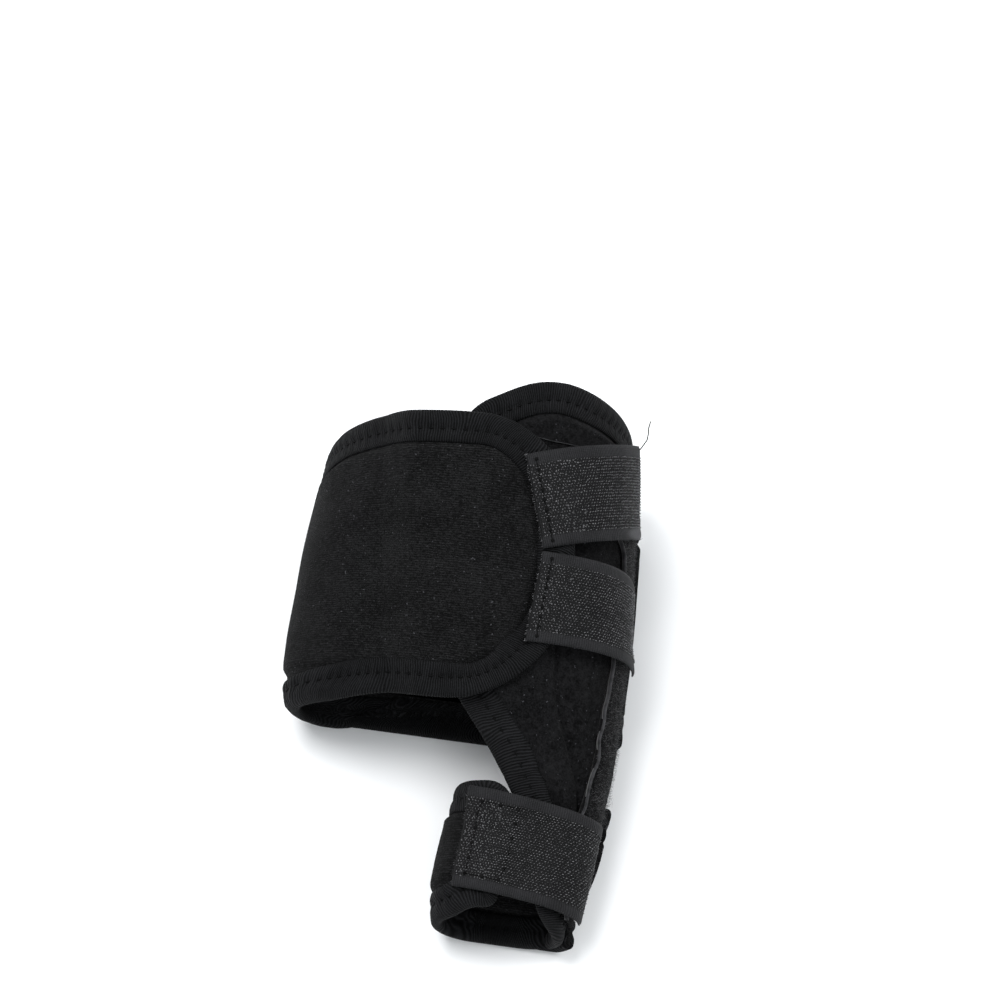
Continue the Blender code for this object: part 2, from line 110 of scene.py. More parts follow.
# The form: the brace keeps the shape that it was closed in. Its sections follow the same sizes and
# tables as the solids, read on a finer net, and every piece is cut flat and then wrapped round it:
# s is the length round the form from the crown (inner side +), t the place behind its front.
TOE_LENGTH = 0.040
TOE_WIDTH = 0.036
TOE_HEIGHT = 0.0247
FOOT_LENGTH = 0.112
BALL_WIDTH = 0.087
INSTEP_HEIGHT = 0.0675
INSTEP_POWER = 2.2
TOE_SECTIONS = [
    # along, inner side, width, crown, height, inner bulge, outer bulge, sole edge
    (-0.10, 0.393, 0.780, 0.370, 0.640, 0.47, 0.47, 0.26),
    (0.285, 0.409, 0.885, 0.433, 0.731, 0.47, 0.47, 0.25),
    (0.71, 0.442, 0.925, 0.488, 0.846, 0.50, 0.50, 0.19),
    (1.00, 0.458, 0.925, 0.527, 1.000, 0.50, 0.46, 0.15),
]
FOOT_SECTIONS = [
    # along, outer side, inner side, crown, height, inner bulge, outer bulge, sole edge
    (0.085, -0.240, 0.468, 0.224, 0.415, 0.475, 0.40, 0.18),
    (0.170, -0.524, 0.470, 0.197, 0.465, 0.455, 0.364, 0.15),
    (0.364, -0.535, 0.465, 0.164, 0.591, 0.43, 0.31, 0.15),
    (0.576, -0.524, 0.448, 0.131, 0.732, 0.385, 0.29, 0.15),
    (0.788, -0.502, 0.428, 0.098, 0.873, 0.355, 0.274, 0.15),
    (1.000, -0.459, 0.404, 0.076, 1.000, 0.34, 0.254, 0.15),
]
PANEL_REAR = 0.1408
PAD = 0.0035
GAP = 0.0003
STRETCH_CELLS = (8, 4, 2, 4, 8)
ROUND_CELLS = sum(STRETCH_CELLS)
INNER_WALL = STRETCH_CELLS[0]
SOLE_INNER = INNER_WALL + STRETCH_CELLS[1]
SOLE_OUTER = SOLE_INNER + STRETCH_CELLS[2]
OUTER_WALL = SOLE_OUTER + STRETCH_CELLS[3]
ALONG_CELLS = (5, 3, 9)
NET = 12  # net lines to a cell of the solids
ROUND_LINES = ROUND_CELLS * NET
STRAIGHT = 1.55  # half the inside angle of a corner that is too flat to round
BLUR_REACH = 12  # net lines on each side that are averaged at the crown
BLUR = 5.0
BLURRED = 2.2
BLUR_FADE = 3.5 * NET
# Where the form stands in the brace's own frame, whose origin is under the middle of its box
FORM_ORIGIN = np.array([0.0014634, -0.0707790, PAD])


def eased(places, values, at):
    """Reads a smooth curve through the rows of a table, with no overshoot between two rows."""
    k = int(np.clip(np.searchsorted(places, at) - 1, 0, len(places) - 2))
    slopes = np.diff(values) / np.diff(places)

    def lean(n):
        if n in (0, len(slopes)):
            return slopes[min(n, len(slopes) - 1)]
        before, after = slopes[n - 1], slopes[n]
        return 0.0 if before * after <= 0 else 2 * before * after / (before + after)

    span = places[k + 1] - places[k]
    u = (at - places[k]) / span
    if not 0 <= u <= 1:
        end = min(max(u, 0), 1)
        return values[k + int(end)] + lean(k + int(end)) * (u - end) * span
    ends = (2 * u**3 - 3 * u**2 + 1) * values[k] + (3 * u**2 - 2 * u**3) * values[k + 1]
    return ends + ((u**3 - 2 * u**2 + u) * lean(k) + (u**3 - u**2) * lean(k + 1)) * span


form_rows = []
for along, inner, width, crown, height, inner_bulge, outer_bulge, edge in TOE_SECTIONS:
    x = inner * BALL_WIDTH
    sides = (x - width * TOE_WIDTH, x, x - crown * TOE_WIDTH)
    start = along * TOE_LENGTH
    form_rows.append((start, *sides, height * TOE_HEIGHT, inner_bulge, outer_bulge, edge))
for along, outer, inner, crown, height, inner_bulge, outer_bulge, edge in FOOT_SECTIONS:
    sides = (outer * BALL_WIDTH, inner * BALL_WIDTH, crown * BALL_WIDTH)
    start = TOE_LENGTH + along * FOOT_LENGTH
    form_rows.append((start, *sides, height * INSTEP_HEIGHT, inner_bulge, outer_bulge, edge))
FORM = np.array(form_rows)


def section(t):
    """The form's section at t, as one point for each net line round it."""
    outer, inner, crown, top, inner_bulge, outer_bulge, edge = (
        eased(FORM[:, 0], FORM[:, column], t) for column in range(1, FORM.shape[1])
    )
    inner_z = inner_bulge * top
    outer_z = outer_bulge * top
    edge_x = edge * (inner - outer)
    power = 2 / INSTEP_POWER
    q = np.linspace(0, math.pi / 2, 60)
    sine, cosine = np.abs(np.sin(q)), np.abs(np.cos(q))
    stretches = (
        (crown + (inner - crown) * sine**power, inner_z + (top - inner_z) * cosine**power),
        (inner - edge_x + edge_x * cosine, inner_z * (1 - sine)),
        (np.linspace(inner - edge_x, outer + edge_x, 3), np.zeros(3)),
        (outer + edge_x - edge_x * sine, outer_z * (1 - cosine)),
        (crown - (crown - outer) * cosine**power, outer_z + (top - outer_z) * sine**power),
    )
    points = []
    for cells, (x, z) in zip(STRETCH_CELLS, stretches):
        run = np.concatenate([[0], np.cumsum(np.hypot(np.diff(x), np.diff(z)))])
        stops = np.linspace(0, run[-1], cells * NET, endpoint=False)
        x, z = np.interp(stops, run, x), np.interp(stops, run, z)
        points.append(np.stack([x, np.full(len(stops), t), z], 1))
    return np.concatenate(points)


root = FORM[len(TOE_SECTIONS) + 1, 0]
cell_ends = (FORM[0, 0], TOE_LENGTH, root, PANEL_REAR + PAD)
LINES = np.concatenate(
    [
        *(
            np.linspace(a, b, n * NET, endpoint=False)
            for a, b, n in zip(cell_ends, cell_ends[1:], ALONG_CELLS)
        ),
        cell_ends[-1:],
    ]
)
POINTS = np.array([section(t) for t in LINES])
# The cloth bridges the change of curve at the crown
reach = np.arange(-BLUR_REACH, BLUR_REACH + 1)
weights = np.exp(-((reach / BLUR) ** 2) / 2)
eased_points = sum(w * np.roll(POINTS, k, axis=1) for k, w in zip(reach, weights / weights.sum()))
steps_off = np.abs((np.arange(ROUND_LINES) + ROUND_LINES / 2) % ROUND_LINES - ROUND_LINES / 2)
cover = np.clip(BLURRED - steps_off / BLUR_FADE, 0, 1)[None, :, None]
POINTS = POINTS * (1 - cover) + eased_points * cover


def unit(vectors):
    return vectors / np.linalg.norm(vectors, axis=-1, keepdims=True)


along_form = np.gradient(POINTS, LINES, axis=0)
around_form = np.roll(POINTS, -1, axis=1) - np.roll(POINTS, 1, axis=1)
NORMALS = np.cross(around_form, along_form)
NORMALS[:, SOLE_INNER * NET : SOLE_OUTER * NET + 1] = (0, 0, -1)
NORMALS = unit(NORMALS)


def wrap(i, j, h):
    """The points h off the form at cell lines i round the section and j along it."""
    i, j, h = (np.asarray(v, float) for v in np.broadcast_arrays(i, j, h))
    fine_i, fine_j = i * NET, j * NET
    a = np.floor(fine_i).astype(int)
    b = np.clip(np.floor(fine_j).astype(int), 0, len(LINES) - 2)
    u, v = fine_i - a, fine_j - b
    total = np.zeros((*i.shape, 3))
    for across, share in ((a, 1 - u), (a + 1, u)):
        around = across % ROUND_LINES
        for line, part in ((b, 1 - v), (b + 1, v)):
            weight = (share * part)[..., None]
            total += weight * (POINTS[line, around] + h[..., None] * NORMALS[line, around])
    return total + FORM_ORIGIN


CELL_LINES = LINES[::NET]


def line_at(t):
    """Cell line along the form at t."""
    b = min(max(int(np.searchsorted(CELL_LINES, t)) - 1, 0), len(CELL_LINES) - 2)
    return b + (t - CELL_LINES[b]) / (CELL_LINES[b + 1] - CELL_LINES[b])


WALK = np.arange(-ROUND_LINES, ROUND_LINES + 1) / NET
FINE_LINES = np.arange(len(LINES)) / NET
net_walks = wrap(WALK[None, :], FINE_LINES[:, None], 0)
runs = np.cumsum(np.linalg.norm(np.diff(net_walks, axis=1), axis=2), axis=1)
runs = np.concatenate([np.zeros((len(LINES), 1)), runs], axis=1)
# Length round the form from the crown to each net line (inner side +), at each net section
GIRTHS = runs - runs[:, ROUND_LINES : ROUND_LINES + 1]


def girths(t):
    """Lengths from the crown to each net line, round the form both ways, at t."""
    row = np.clip(line_at(t) * NET, 0, len(LINES) - 1.001)
    share = row % 1
    return GIRTHS[int(row)] * (1 - share) + GIRTHS[int(row) + 1] * share


def cell_of(s, t):
    """Cell place of the point (s, t)."""
    return np.array([np.interp(s, girths(t), WALK), line_at(t)])


def girth_at(i, t):
    """Length from the crown to the cell line i."""
    return float(np.interp(i, WALK, girths(t)))


def rounded(corners, step):
    """A path from corner to corner (s, t, radius), each rounded by an arc, in equal steps."""
    spots = np.array([corner[:2] for corner in corners])
    lengths = np.linalg.norm(np.diff(spots, axis=0), axis=1)
    ahead = np.diff(spots, axis=0) / lengths[:, None]
    halves = np.arccos(np.clip(-(ahead[:-1] * ahead[1:]).sum(axis=1), -1, 1)) / 2
    wanted = np.zeros(len(corners))
    for k, half in enumerate(halves, 1):
        if half < STRAIGHT:
            wanted[k] = corners[k][2] / math.tan(half)
    share = 0.96 * lengths / np.maximum(wanted[:-1] + wanted[1:], 0.96 * lengths)
    path = [spots[0]]
    for k, half in enumerate(halves, 1):
        here, back, on = spots[k], -ahead[k - 1], ahead[k]
        tangent = wanted[k] * min(share[k - 1], share[k])
        if tangent == 0:
            path.append(here)
            continue
        centre = here + (back + on) / np.linalg.norm(back + on) * tangent / math.cos(half)
        first, last = here + back * tangent - centre, here + on * tangent - centre
        turn = math.pi - 2 * half
        for w in np.linspace(0, 1, max(3, round(turn / math.radians(5)) + 1)):
            near = (math.sin((1 - w) * turn) * first + math.sin(w * turn) * last) / math.sin(turn)
            path.append(centre + near)
    path = np.array([*path, spots[-1]])
    run = run_of(path)
    stops = np.linspace(0, run[-1], max(2, round(run[-1] / step) + 1))
    return np.stack([np.interp(stops, run, path[:, 0]), np.interp(stops, run, path[:, 1])], 1)


def run_of(path):
    """Length along a path, at each of its points."""
    return np.concatenate([[0], np.cumsum(np.linalg.norm(np.diff(path, axis=0), axis=1))])


def cells_of(path):
    """A path of (s, t) points as cell places."""
    return np.array([cell_of(s, t) for s, t in path])


def inward(path):
    """For each cell place of a path, the cell step that goes 1 m to its right over the form."""
    around = wrap(path[:, 0] + 0.25, path[:, 1], 0) - wrap(path[:, 0] - 0.25, path[:, 1], 0)
    along = wrap(path[:, 0], path[:, 1] + 0.25, 0) - wrap(path[:, 0], path[:, 1] - 0.25, 0)
    around, along = around * 2, along * 2
    run = np.gradient(path, axis=0)
    ahead = run[:, :1] * around + run[:, 1:] * along
    side = unit(np.cross(ahead, np.cross(around, along)))
    ways = np.stack([around, along], 2)
    return np.array([np.linalg.lstsq(a, b, rcond=None)[0] for a, b in zip(ways, side)])


# The side panel: brushed black cloth on foam along the inner side, with a splint's pocket sewn into
# it. A padded piece is cut flat, pressed thin along its edge for the tape, cut on the net, extruded
# to two faces and wrapped round the form.
PANEL_FRONT = 0.0012
PANEL_TOE_EDGE = 0.0095
PANEL_TONGUE = 0.0160
DIAGONAL_FRONT = 0.0189
DIAGONAL_TUCK = 0.0063
TONGUE_REAR = 0.1295
PANEL_CREST = 0.0070
PANEL_WALL_REAR = 0.1403
PANEL_FOOT_REAR = 0.1375
PANEL_TOE_ROUND = 0.0105
PANEL_TONGUE_ROUND = 0.015
PANEL_REAR_ROUND = 0.035
PANEL_FOOT = INNER_WALL + 1.8
BAND_FRONT = 0.0560
STITCH_PITCH = 0.0030
EDGE_STEP = STITCH_PITCH / 4
SEAM_CORE = 0.0012
TAPE = 0.0008
TAPE_LEAF = 0.0075
SHOULDER = 0.0024  # from the tape's border to the pad's full height
PUFF = 0.00040  # how far the foam swells over its own height
PUFF_SPAN = 0.012  # from the tape to the full swell
DENT = 0.00016  # slow dents in the face
RIPPLE = 0.00012  # short ripples beside the tape
RINGS = (0.0, 0.0071, 0.0076, 0.0081, 0.0087, 0.0094, 0.0102)
CUTS = 12  # net cuts to a cell
PLUSH_BLACK = (0.0046, 0.0046, 0.0049)
PLUSH_LINT = (0.05, 0.05, 0.056)
POCKET_SEAM = [
    # where the splint's pocket is sewn down: round, along
    (0.0105, 0.0860),
    (0.0110, 0.0740),
    (0.0115, 0.0615),
    (0.0120, 0.0565),
    (0.0135, 0.0460),
    (0.0150, 0.0400),
    (0.0165, 0.0330),
]


def deselect_all():
    for chosen in list(bpy.context.selected_objects):
        chosen.select_set(False)


def select_only(piece):
    deselect_all()
    piece.select_set(True)
    bpy.context.view_layer.objects.active = piece


@contextlib.contextmanager
def editing(piece):
    """Edit mode on one piece, with all of it selected."""
    select_only(piece)
    bpy.ops.object.mode_set(mode="EDIT")
    bpy.ops.mesh.select_all(action="SELECT")
    yield
    bpy.ops.object.mode_set(mode="OBJECT")


def positions(piece):
    flat = np.empty(len(piece.data.vertices) * 3)
    piece.data.vertices.foreach_get("co", flat)
    return flat.reshape(-1, 3)


def set_positions(piece, points):
    piece.data.vertices.foreach_set("co", np.asarray(points, np.float32).ravel())
    piece.data.update()


def lay_flat(piece, places):
    """Lays a flat piece's points on places of two coordinates."""
    set_positions(piece, np.column_stack([places, np.zeros(len(places))]))


def grid_piece(name, columns, rows):
    """A grid primitive and the (column, row) of each of its points."""
    deselect_all()
    bpy.ops.mesh.primitive_grid_add(x_subdivisions=columns, y_subdivisions=rows, size=2)
    piece = bpy.context.object
    piece.name = piece.data.name = name
    spots = (positions(piece)[:, :2] + 1) / 2 * (columns, rows)
    return piece, np.rint(spots).astype(int)


def join(piece, *others):
    """Makes other pieces part of one piece."""
    select_only(piece)
    for other in others:
        other.select_set(True)
    bpy.ops.object.join()
    return piece


def cut_on_net(piece, path):
    """Cuts a flat piece on the net lines that cross it."""
    with editing(piece):
        for axis in (0, 1):
            low, high = path[:, axis].min(), path[:, axis].max()
            for line in np.arange(math.ceil(low * CUTS), math.ceil(high * CUTS)) / CUTS:
                at, normal = [0, 0, 0], [0, 0, 0]
                at[axis], normal[axis] = float(line), 1
                bpy.ops.mesh.select_all(action="SELECT")
                bpy.ops.mesh.bisect(plane_co=at, plane_no=normal, threshold=0.01)


def cut_flat(name, path, side):
    """The flat piece inside a taped edge: rings along the edge and a face, cut on the net."""
    strip, spots = grid_piece(name, len(path) - 1, len(RINGS) - 1)
    distance = np.array(RINGS)[spots[:, 1]]
    lay_flat(strip, path[spots[:, 0]] + distance[:, None] * side[spots[:, 0]])
    with editing(strip):
        bpy.ops.mesh.select_all(action="DESELECT")
    for vertex, spot in zip(strip.data.vertices, spots):
        vertex.select = bool(spot[1] == len(RINGS) - 1)
    bpy.ops.object.mode_set(mode="EDIT")
    bpy.ops.mesh.edge_face_add()
    bpy.ops.object.mode_set(mode="OBJECT")
    cut_on_net(strip, path)
    return strip


def two_faces(piece):
    """Extrudes a flat piece and returns a mask of the points of its outer face."""
    with editing(piece):
        bpy.ops.mesh.extrude_region_move(TRANSFORM_OT_translate={"value": (0, 0, 1)})
    return positions(piece)[:, 2] > 0.5


def distance_to(points, line):
    """Distance of each point to the nearest of the points of a line."""
    tree = KDTree(len(line))
    for k, point in enumerate(line):
        tree.insert((*point, 0)[:3], k)
    tree.balance()
    return np.array([tree.find((*point, 0)[:3])[2] for point in points])


def spread(path, times=4):
    """A path read at more places."""
    k = np.arange(len(path))
    fine = np.linspace(0, len(path) - 1, times * len(path))
    return np.stack([np.interp(fine, k, path[:, 0]), np.interp(fine, k, path[:, 1])], 1)


def smoothstep(x):
    x = np.clip(x, 0, 1)
    return x * x * (3 - 2 * x)


def waves(places, seed, shortest, longest):
    """Slow unevenness over (s, t) places, about -1 to 1, from a few crossed waves."""
    rng = np.random.default_rng(seed)
    total = np.zeros(len(places))
    for _ in range(8):
        turn = rng.uniform(0, math.tau)
        length = rng.uniform(shortest, longest)
        phase = rng.uniform(0, math.tau)
        total += np.sin(math.tau * (places @ (math.cos(turn), math.sin(turn))) / length + phase)
    return total / 4


def flat_lengths(i, j):
    """Cell places as (s, t) metres."""
    row = np.clip(j * NET, 0, len(LINES) - 1.001)
    column = np.clip((i - WALK[0]) * NET, 0, len(WALK) - 1.001)
    b, k = row.astype(int), column.astype(int)
    v, u = row - b, column - k
    near = GIRTHS[b, k] * (1 - u) + GIRTHS[b, k + 1] * u
    far = GIRTHS[b + 1, k] * (1 - u) + GIRTHS[b + 1, k + 1] * u
    return np.column_stack([near * (1 - v) + far * v, np.interp(j, FINE_LINES, LINES)])


def give_cloth_uv(piece, lengths):
    """Stores each point's place on the flat cloth, in metres, as the piece's only UV map."""
    for old in list(piece.data.uv_layers):
        piece.data.uv_layers.remove(old)
    layer = piece.data.uv_layers.new(name="cloth")
    corners = np.empty(len(piece.data.loops), int)
    piece.data.loops.foreach_get("vertex_index", corners)
    layer.data.foreach_set("uv", lengths[corners].astype(np.float32).ravel())


def outward(piece):
    """Turns the faces of a closed piece outwards and shades it smooth."""
    mesh = bmesh.new()
    mesh.from_mesh(piece.data)
    bmesh.ops.recalc_face_normals(mesh, faces=mesh.faces[:])
    mesh.to_mesh(piece.data)
    mesh.free()
    piece.data.shade_smooth()


def pad_piece(name, edge, bottom, seed, relief=None):
    """A padded piece from its taped edge. relief(lengths) lowers its outer face."""
    path = cells_of(edge)
    side = inward(path)
    piece = cut_flat(name, path, side)
    outer = two_faces(piece)
    i, j = positions(piece)[:, :2].T
    distance = distance_to(wrap(i, j, 0), wrap(*spread(path).T, 0))
    rise = smoothstep((distance - TAPE_LEAF + 0.0003) / SHOULDER)
    inside = smoothstep((distance - TAPE_LEAF) / PUFF_SPAN)
    lengths = flat_lengths(i, j)
    around = np.mod(i, ROUND_CELLS)
    on_sole = smoothstep((around - INNER_WALL) / 2) * smoothstep((OUTER_WALL - around) / 2)
    swell = rise * PUFF * (0.55 + 0.45 * inside) + rise * DENT * waves(lengths, seed, 0.012, 0.034)
    swell += rise * (1 - inside) * RIPPLE * waves(lengths, seed + 50, 0.003, 0.007)
    top = SEAM_CORE / 2 + (PAD - SEAM_CORE) / 2 * rise + (1 - on_sole) * swell
    if relief is not None:
        top -= relief(lengths) * rise
    under = -SEAM_CORE / 2 - (PAD - SEAM_CORE) / 2 * rise
    set_positions(piece, wrap(i, j, bottom(i) + PAD / 2 + np.where(outer, top, under)))
    give_cloth_uv(piece, lengths)
    outward(piece)
    return piece


def ramp(*stops):
    """A height that goes straight from stop to stop (cell line, height) round the form."""
    lines, heights = zip(*stops)
    return lambda i: np.interp(i, lines, heights)


class Finish:
    """A material under construction: its nodes, and shader maths on their sockets."""

    def __init__(self, name, colour, roughness, specular=0.2, sheen=0.0):
        self.colour = colour
        self.material = bpy.data.materials.new(name)
        self.material.use_nodes = True
        self.tree = self.material.node_tree
        self.shader = self.tree.nodes["Principled BSDF"]
        self.shade(Base_Color=(*colour, 1), Roughness=roughness, Specular_IOR_Level=specular)
        self.shade(Sheen_Weight=sheen, Sheen_Roughness=0.4)
        self.place = self.node("ShaderNodeTexCoord", output=3)

    def node(self, kind, settings=(), inputs=(), output=0):
        """Adds a node, makes its settings, then sets or links its inputs by name or number."""
        node = self.tree.nodes.new(kind)
        for name, value in dict(settings).items():
            setattr(node, name, value)
        for name, value in dict(inputs).items():
            self.feed(node.inputs[name], value)
        return Fibre(self, node.outputs[output])

    def feed(self, socket, value):
        if isinstance(value, Fibre):
            self.tree.links.new(value.socket, socket)
        else:
            socket.default_value = value

    def shade(self, **inputs):
        """Feeds the shader's own sockets; a name's underscores stand for spaces."""
        for name, value in inputs.items():
            self.feed(self.shader.inputs[name.replace("_", " ")], value)

    def mix(self, share, first, second):
        """Goes from the first colour to the second as share goes from 0 to 1."""
        colours = (c if isinstance(c, Fibre) else (*c, 1) for c in (first, second))
        inputs = {"Factor": share, **dict(zip((6, 7), colours))}
        return self.node("ShaderNodeMix", {"data_type": "RGBA"}, inputs, output=2)

    def tinted(self, share, dark, light):
        """Goes from the material's own colour times dark to that times light."""
        return self.mix(share, *(tuple(c * k for c in self.colour) for k in (dark, light)))

    def cloth(self):
        """The place on the flat cloth, and its two coordinates in metres."""
        uv = self.node("ShaderNodeUVMap", {"uv_map": "cloth"})
        parts = self.tree.nodes.new("ShaderNodeSeparateXYZ")
        self.tree.links.new(uv.socket, parts.inputs[0])
        return uv, Fibre(self, parts.outputs[0]), Fibre(self, parts.outputs[1])

    def noise(self, scale, detail=3.0, roughness=0.5, vector=None):
        vector = vector or self.place
        inputs = {"Vector": vector, "Scale": scale, "Detail": detail, "Roughness": roughness}
        return self.node("ShaderNodeTexNoise", (), inputs)

    def done(self, colour, *bumps):
        """The finished material, of that colour, under bumps (height, distance, strength)."""
        below = {}
        for height, distance, strength in bumps:
            inputs = {"Height": height, "Distance": distance, "Strength": strength, **below}
            below = {"Normal": self.node("ShaderNodeBump", (), inputs)}
        self.shade(Base_Color=colour, **below)
        return self.material


class Fibre:
    """A socket's value, on which Python's operators add Math nodes."""

    def __init__(self, finish, socket):
        self.finish, self.socket = finish, socket

    def math(self, operation, *others):
        inputs = {k: value for k, value in enumerate((self, *others))}
        return self.finish.node("ShaderNodeMath", {"operation": operation}, inputs)

    def __add__(self, other):
        return self.math("ADD", other)

    def __mul__(self, other):
        return self.math("MULTIPLY", other)

    def __sub__(self, other):
        return self.math("SUBTRACT", other)

    def __rsub__(self, other):
        return self.finish.node("ShaderNodeMath", {"operation": "SUBTRACT"}, {0: other, 1: self})

    def wave(self, pitch):
        """Goes from 0 to 1 and back in each pitch."""
        return (self * (math.tau / pitch)).math("SINE") * 0.5 + 0.5

    def above(self, low, high):
        """0 below low, 1 above high, smooth between."""
        inputs = {"Value": self, "From Min": low, "From Max": high}
        return self.finish.node("ShaderNodeMapRange", {"interpolation_type": "SMOOTHSTEP"}, inputs)


def brushed_cloth():
    """Short soft nap without rows, faintly patched, with a few specks of pale lint."""
    finish = Finish("brushed_cloth", PLUSH_BLACK, 0.95, specular=0.04, sheen=0.03)
    nap = finish.noise(2100, 3, 0.75)
    tufts = finish.noise(600, 3, 0.6)
    patches = finish.noise(60, 3, 0.6)
    shade = finish.tinted((nap + tufts * 0.6 + patches * 0.5).above(0.80, 1.32), 0.35, 2.5)
    lint = finish.noise(1250, 1).above(0.735, 0.765)
    shade = finish.mix(lint, shade, PLUSH_LINT)
    return finish.done(shade, (nap, 0.00032, 1.0), (tufts, 0.00050, 0.8))


def dress(piece, material, slot, *nodes):
    """Gives a finished piece its material and its body, and hides the CAD nodes that it stands for;
    slot is not used.
    """
    piece.data.materials.clear()
    piece.data.materials.append(material)
    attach(piece, "root")
    if nodes:
        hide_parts(*nodes)


def pocket_relief(lengths):
    """How far the sewn line of the pocket is pulled in: a narrow groove in a wide, soft one."""
    line = spread(np.array(POCKET_SEAM), 60)
    away = distance_to(lengths, line)
    return 0.00130 * np.exp(-((away / 0.0008) ** 2)) + 0.00060 * np.exp(-((away / 0.0035) ** 2))


panel_outline = rounded(
    [
        (girth_at(PANEL_FOOT, PANEL_FRONT), PANEL_FRONT, 0),
        (PANEL_TOE_EDGE, PANEL_FRONT, PANEL_TOE_ROUND),
        (PANEL_TOE_EDGE, DIAGONAL_FRONT, PANEL_TOE_ROUND),
        (-PANEL_TONGUE, BAND_FRONT + DIAGONAL_TUCK, PANEL_TONGUE_ROUND),
        (-PANEL_TONGUE, TONGUE_REAR, PANEL_TONGUE_ROUND),
        (PANEL_CREST, PANEL_REAR, PANEL_REAR_ROUND),
        (girth_at(INNER_WALL, PANEL_WALL_REAR), PANEL_WALL_REAR, PANEL_REAR_ROUND),
        (girth_at(PANEL_FOOT, PANEL_FOOT_REAR), PANEL_FOOT_REAR, 0),
    ],
    EDGE_STEP,
)
on_form = ramp((0, 0))
brushed = brushed_cloth()
side_panel = pad_piece("side_panel_cloth", panel_outline, on_form, 8, pocket_relief)
dress(side_panel, brushed, "plush_cloth", "side_panel")


# The instep band: ribbed knit on foam. It is sewn on low on the panel, runs underneath and up the
# outer side, and ends in a rounded flap over the instep. Its knitted rows run across the brace.
BAND_WIDTH = 0.0736
FLAP_REACH = 0.0130
FLAP_FRONT_ROUND = 0.034
FLAP_REAR_ROUND = 0.022
LAP_TOP = INNER_WALL + 0.9
PANEL_CLEAR = INNER_WALL + 2
LAP_DOWN = INNER_WALL + 3
TONGUE_CLEAR = -3
TONGUE_DOWN = -4
BAND_EDGES = [
    # round, front, rear
    (LAP_TOP - ROUND_CELLS, 0.03, 0.93),
    (SOLE_INNER - ROUND_CELLS, 0.02, 0.93),
    (SOLE_OUTER - ROUND_CELLS, 0.02, 0.93),
    (OUTER_WALL - ROUND_CELLS, 0.015, 0.945),
    (-6, 0.018, 0.985),
    (-4, 0.042, 1.000),
]
KNIT_BLACK = (0.0073, 0.0073, 0.0076)
KNIT_LINT = (0.05, 0.05, 0.055)
KNIT_ROW = 0.00060


def ribbed_knit():
    """Fine knitted rows, broken into dashes, with a short nap and specks of lint."""
    finish = Finish("ribbed_knit", KNIT_BLACK, 0.9, specular=0.05, sheen=0.03)
    uv, _, along = finish.cloth()
    rows = (along + finish.noise(260, 3) * 0.0007).wave(KNIT_ROW)
    stretched = finish.node("ShaderNodeMapping", (), {"Vector": uv, "Scale": (620, 1660, 1)})
    dashes = finish.noise(1, 2, 0.6, stretched)
    nap = finish.noise(2300, 3, 0.75)
    patches = finish.noise(90, 3, 0.6)
    knit = rows * dashes.above(0.36, 0.62)
    tint = (knit * 0.24 + nap + patches * 0.30).above(0.54, 1.04)
    lint = finish.noise(1350, 1).above(0.725, 0.76)
    shade = finish.mix(lint, finish.tinted(tint, 0.30, 2.6), KNIT_LINT)
    return finish.done(shade, (nap, 0.00030, 1.0), (knit, 0.00016, 0.9))


def band_edge(edges, front, width, reach, rounds):
    """Rear edge of a band, its rounded end past the crown, and the front edge back."""
    front_end = (reach, front + edges[-1][1] * width, rounds[0])
    rear_end = (reach, front + edges[-1][2] * width, rounds[1])
    rear, forward = [], []
    for i, front_share, rear_share in edges:
        for run, share in ((rear, rear_share), (forward, front_share)):
            t = front + share * width
            run.append((girth_at(i, t), t, width))
    return rounded([*rear, rear_end, front_end, *forward[::-1]], EDGE_STEP)


on_panel = PAD + GAP
band_bottom = ramp(
    (PANEL_CLEAR - ROUND_CELLS, on_panel),
    (LAP_DOWN - ROUND_CELLS, 0),
    (TONGUE_DOWN, 0),
    (TONGUE_CLEAR, on_panel),
)
flap_rounds = (FLAP_FRONT_ROUND, FLAP_REAR_ROUND)
band_outline = band_edge(BAND_EDGES, BAND_FRONT, BAND_WIDTH, FLAP_REACH, flap_rounds)
knit = ribbed_knit()
instep_band = pad_piece("instep_band_cloth", band_outline, band_bottom, 3)
dress(instep_band, knit, "ribbed_cloth", "instep_band")


# The toe wrap: the same ribbed band, cut narrower. It is sewn on low on the panel, runs underneath
# and closes over the toe tunnel.
TOE_WRAP_FRONT = 0.0010
TOE_WRAP_WIDTH = 0.0380
TOE_FLAP_REACH = -0.0018
TOE_FLAP_ROUND = 0.0105
TOE_WRAP_EDGES = [
    # round, front, rear
    (LAP_TOP - ROUND_CELLS, 0.02, 1.00),
    (SOLE_INNER - ROUND_CELLS, 0.00, 1.00),
    (SOLE_OUTER - ROUND_CELLS, 0.00, 1.00),
    (OUTER_WALL - ROUND_CELLS, 0.02, 0.97),
    (-5, 0.055, 0.97),
    (-3, 0.135, 0.97),
]

wrap_bottom = ramp((PANEL_CLEAR - ROUND_CELLS, on_panel), (LAP_DOWN - ROUND_CELLS, 0))
toe_rounds = (TOE_FLAP_ROUND, TOE_FLAP_ROUND)
wrap_outline = band_edge(TOE_WRAP_EDGES, TOE_WRAP_FRONT, TOE_WRAP_WIDTH, TOE_FLAP_REACH, toe_rounds)
toe_wrap = pad_piece("toe_wrap_cloth", wrap_outline, wrap_bottom, 11)
dress(toe_wrap, knit, "ribbed_cloth", "toe_wrap")


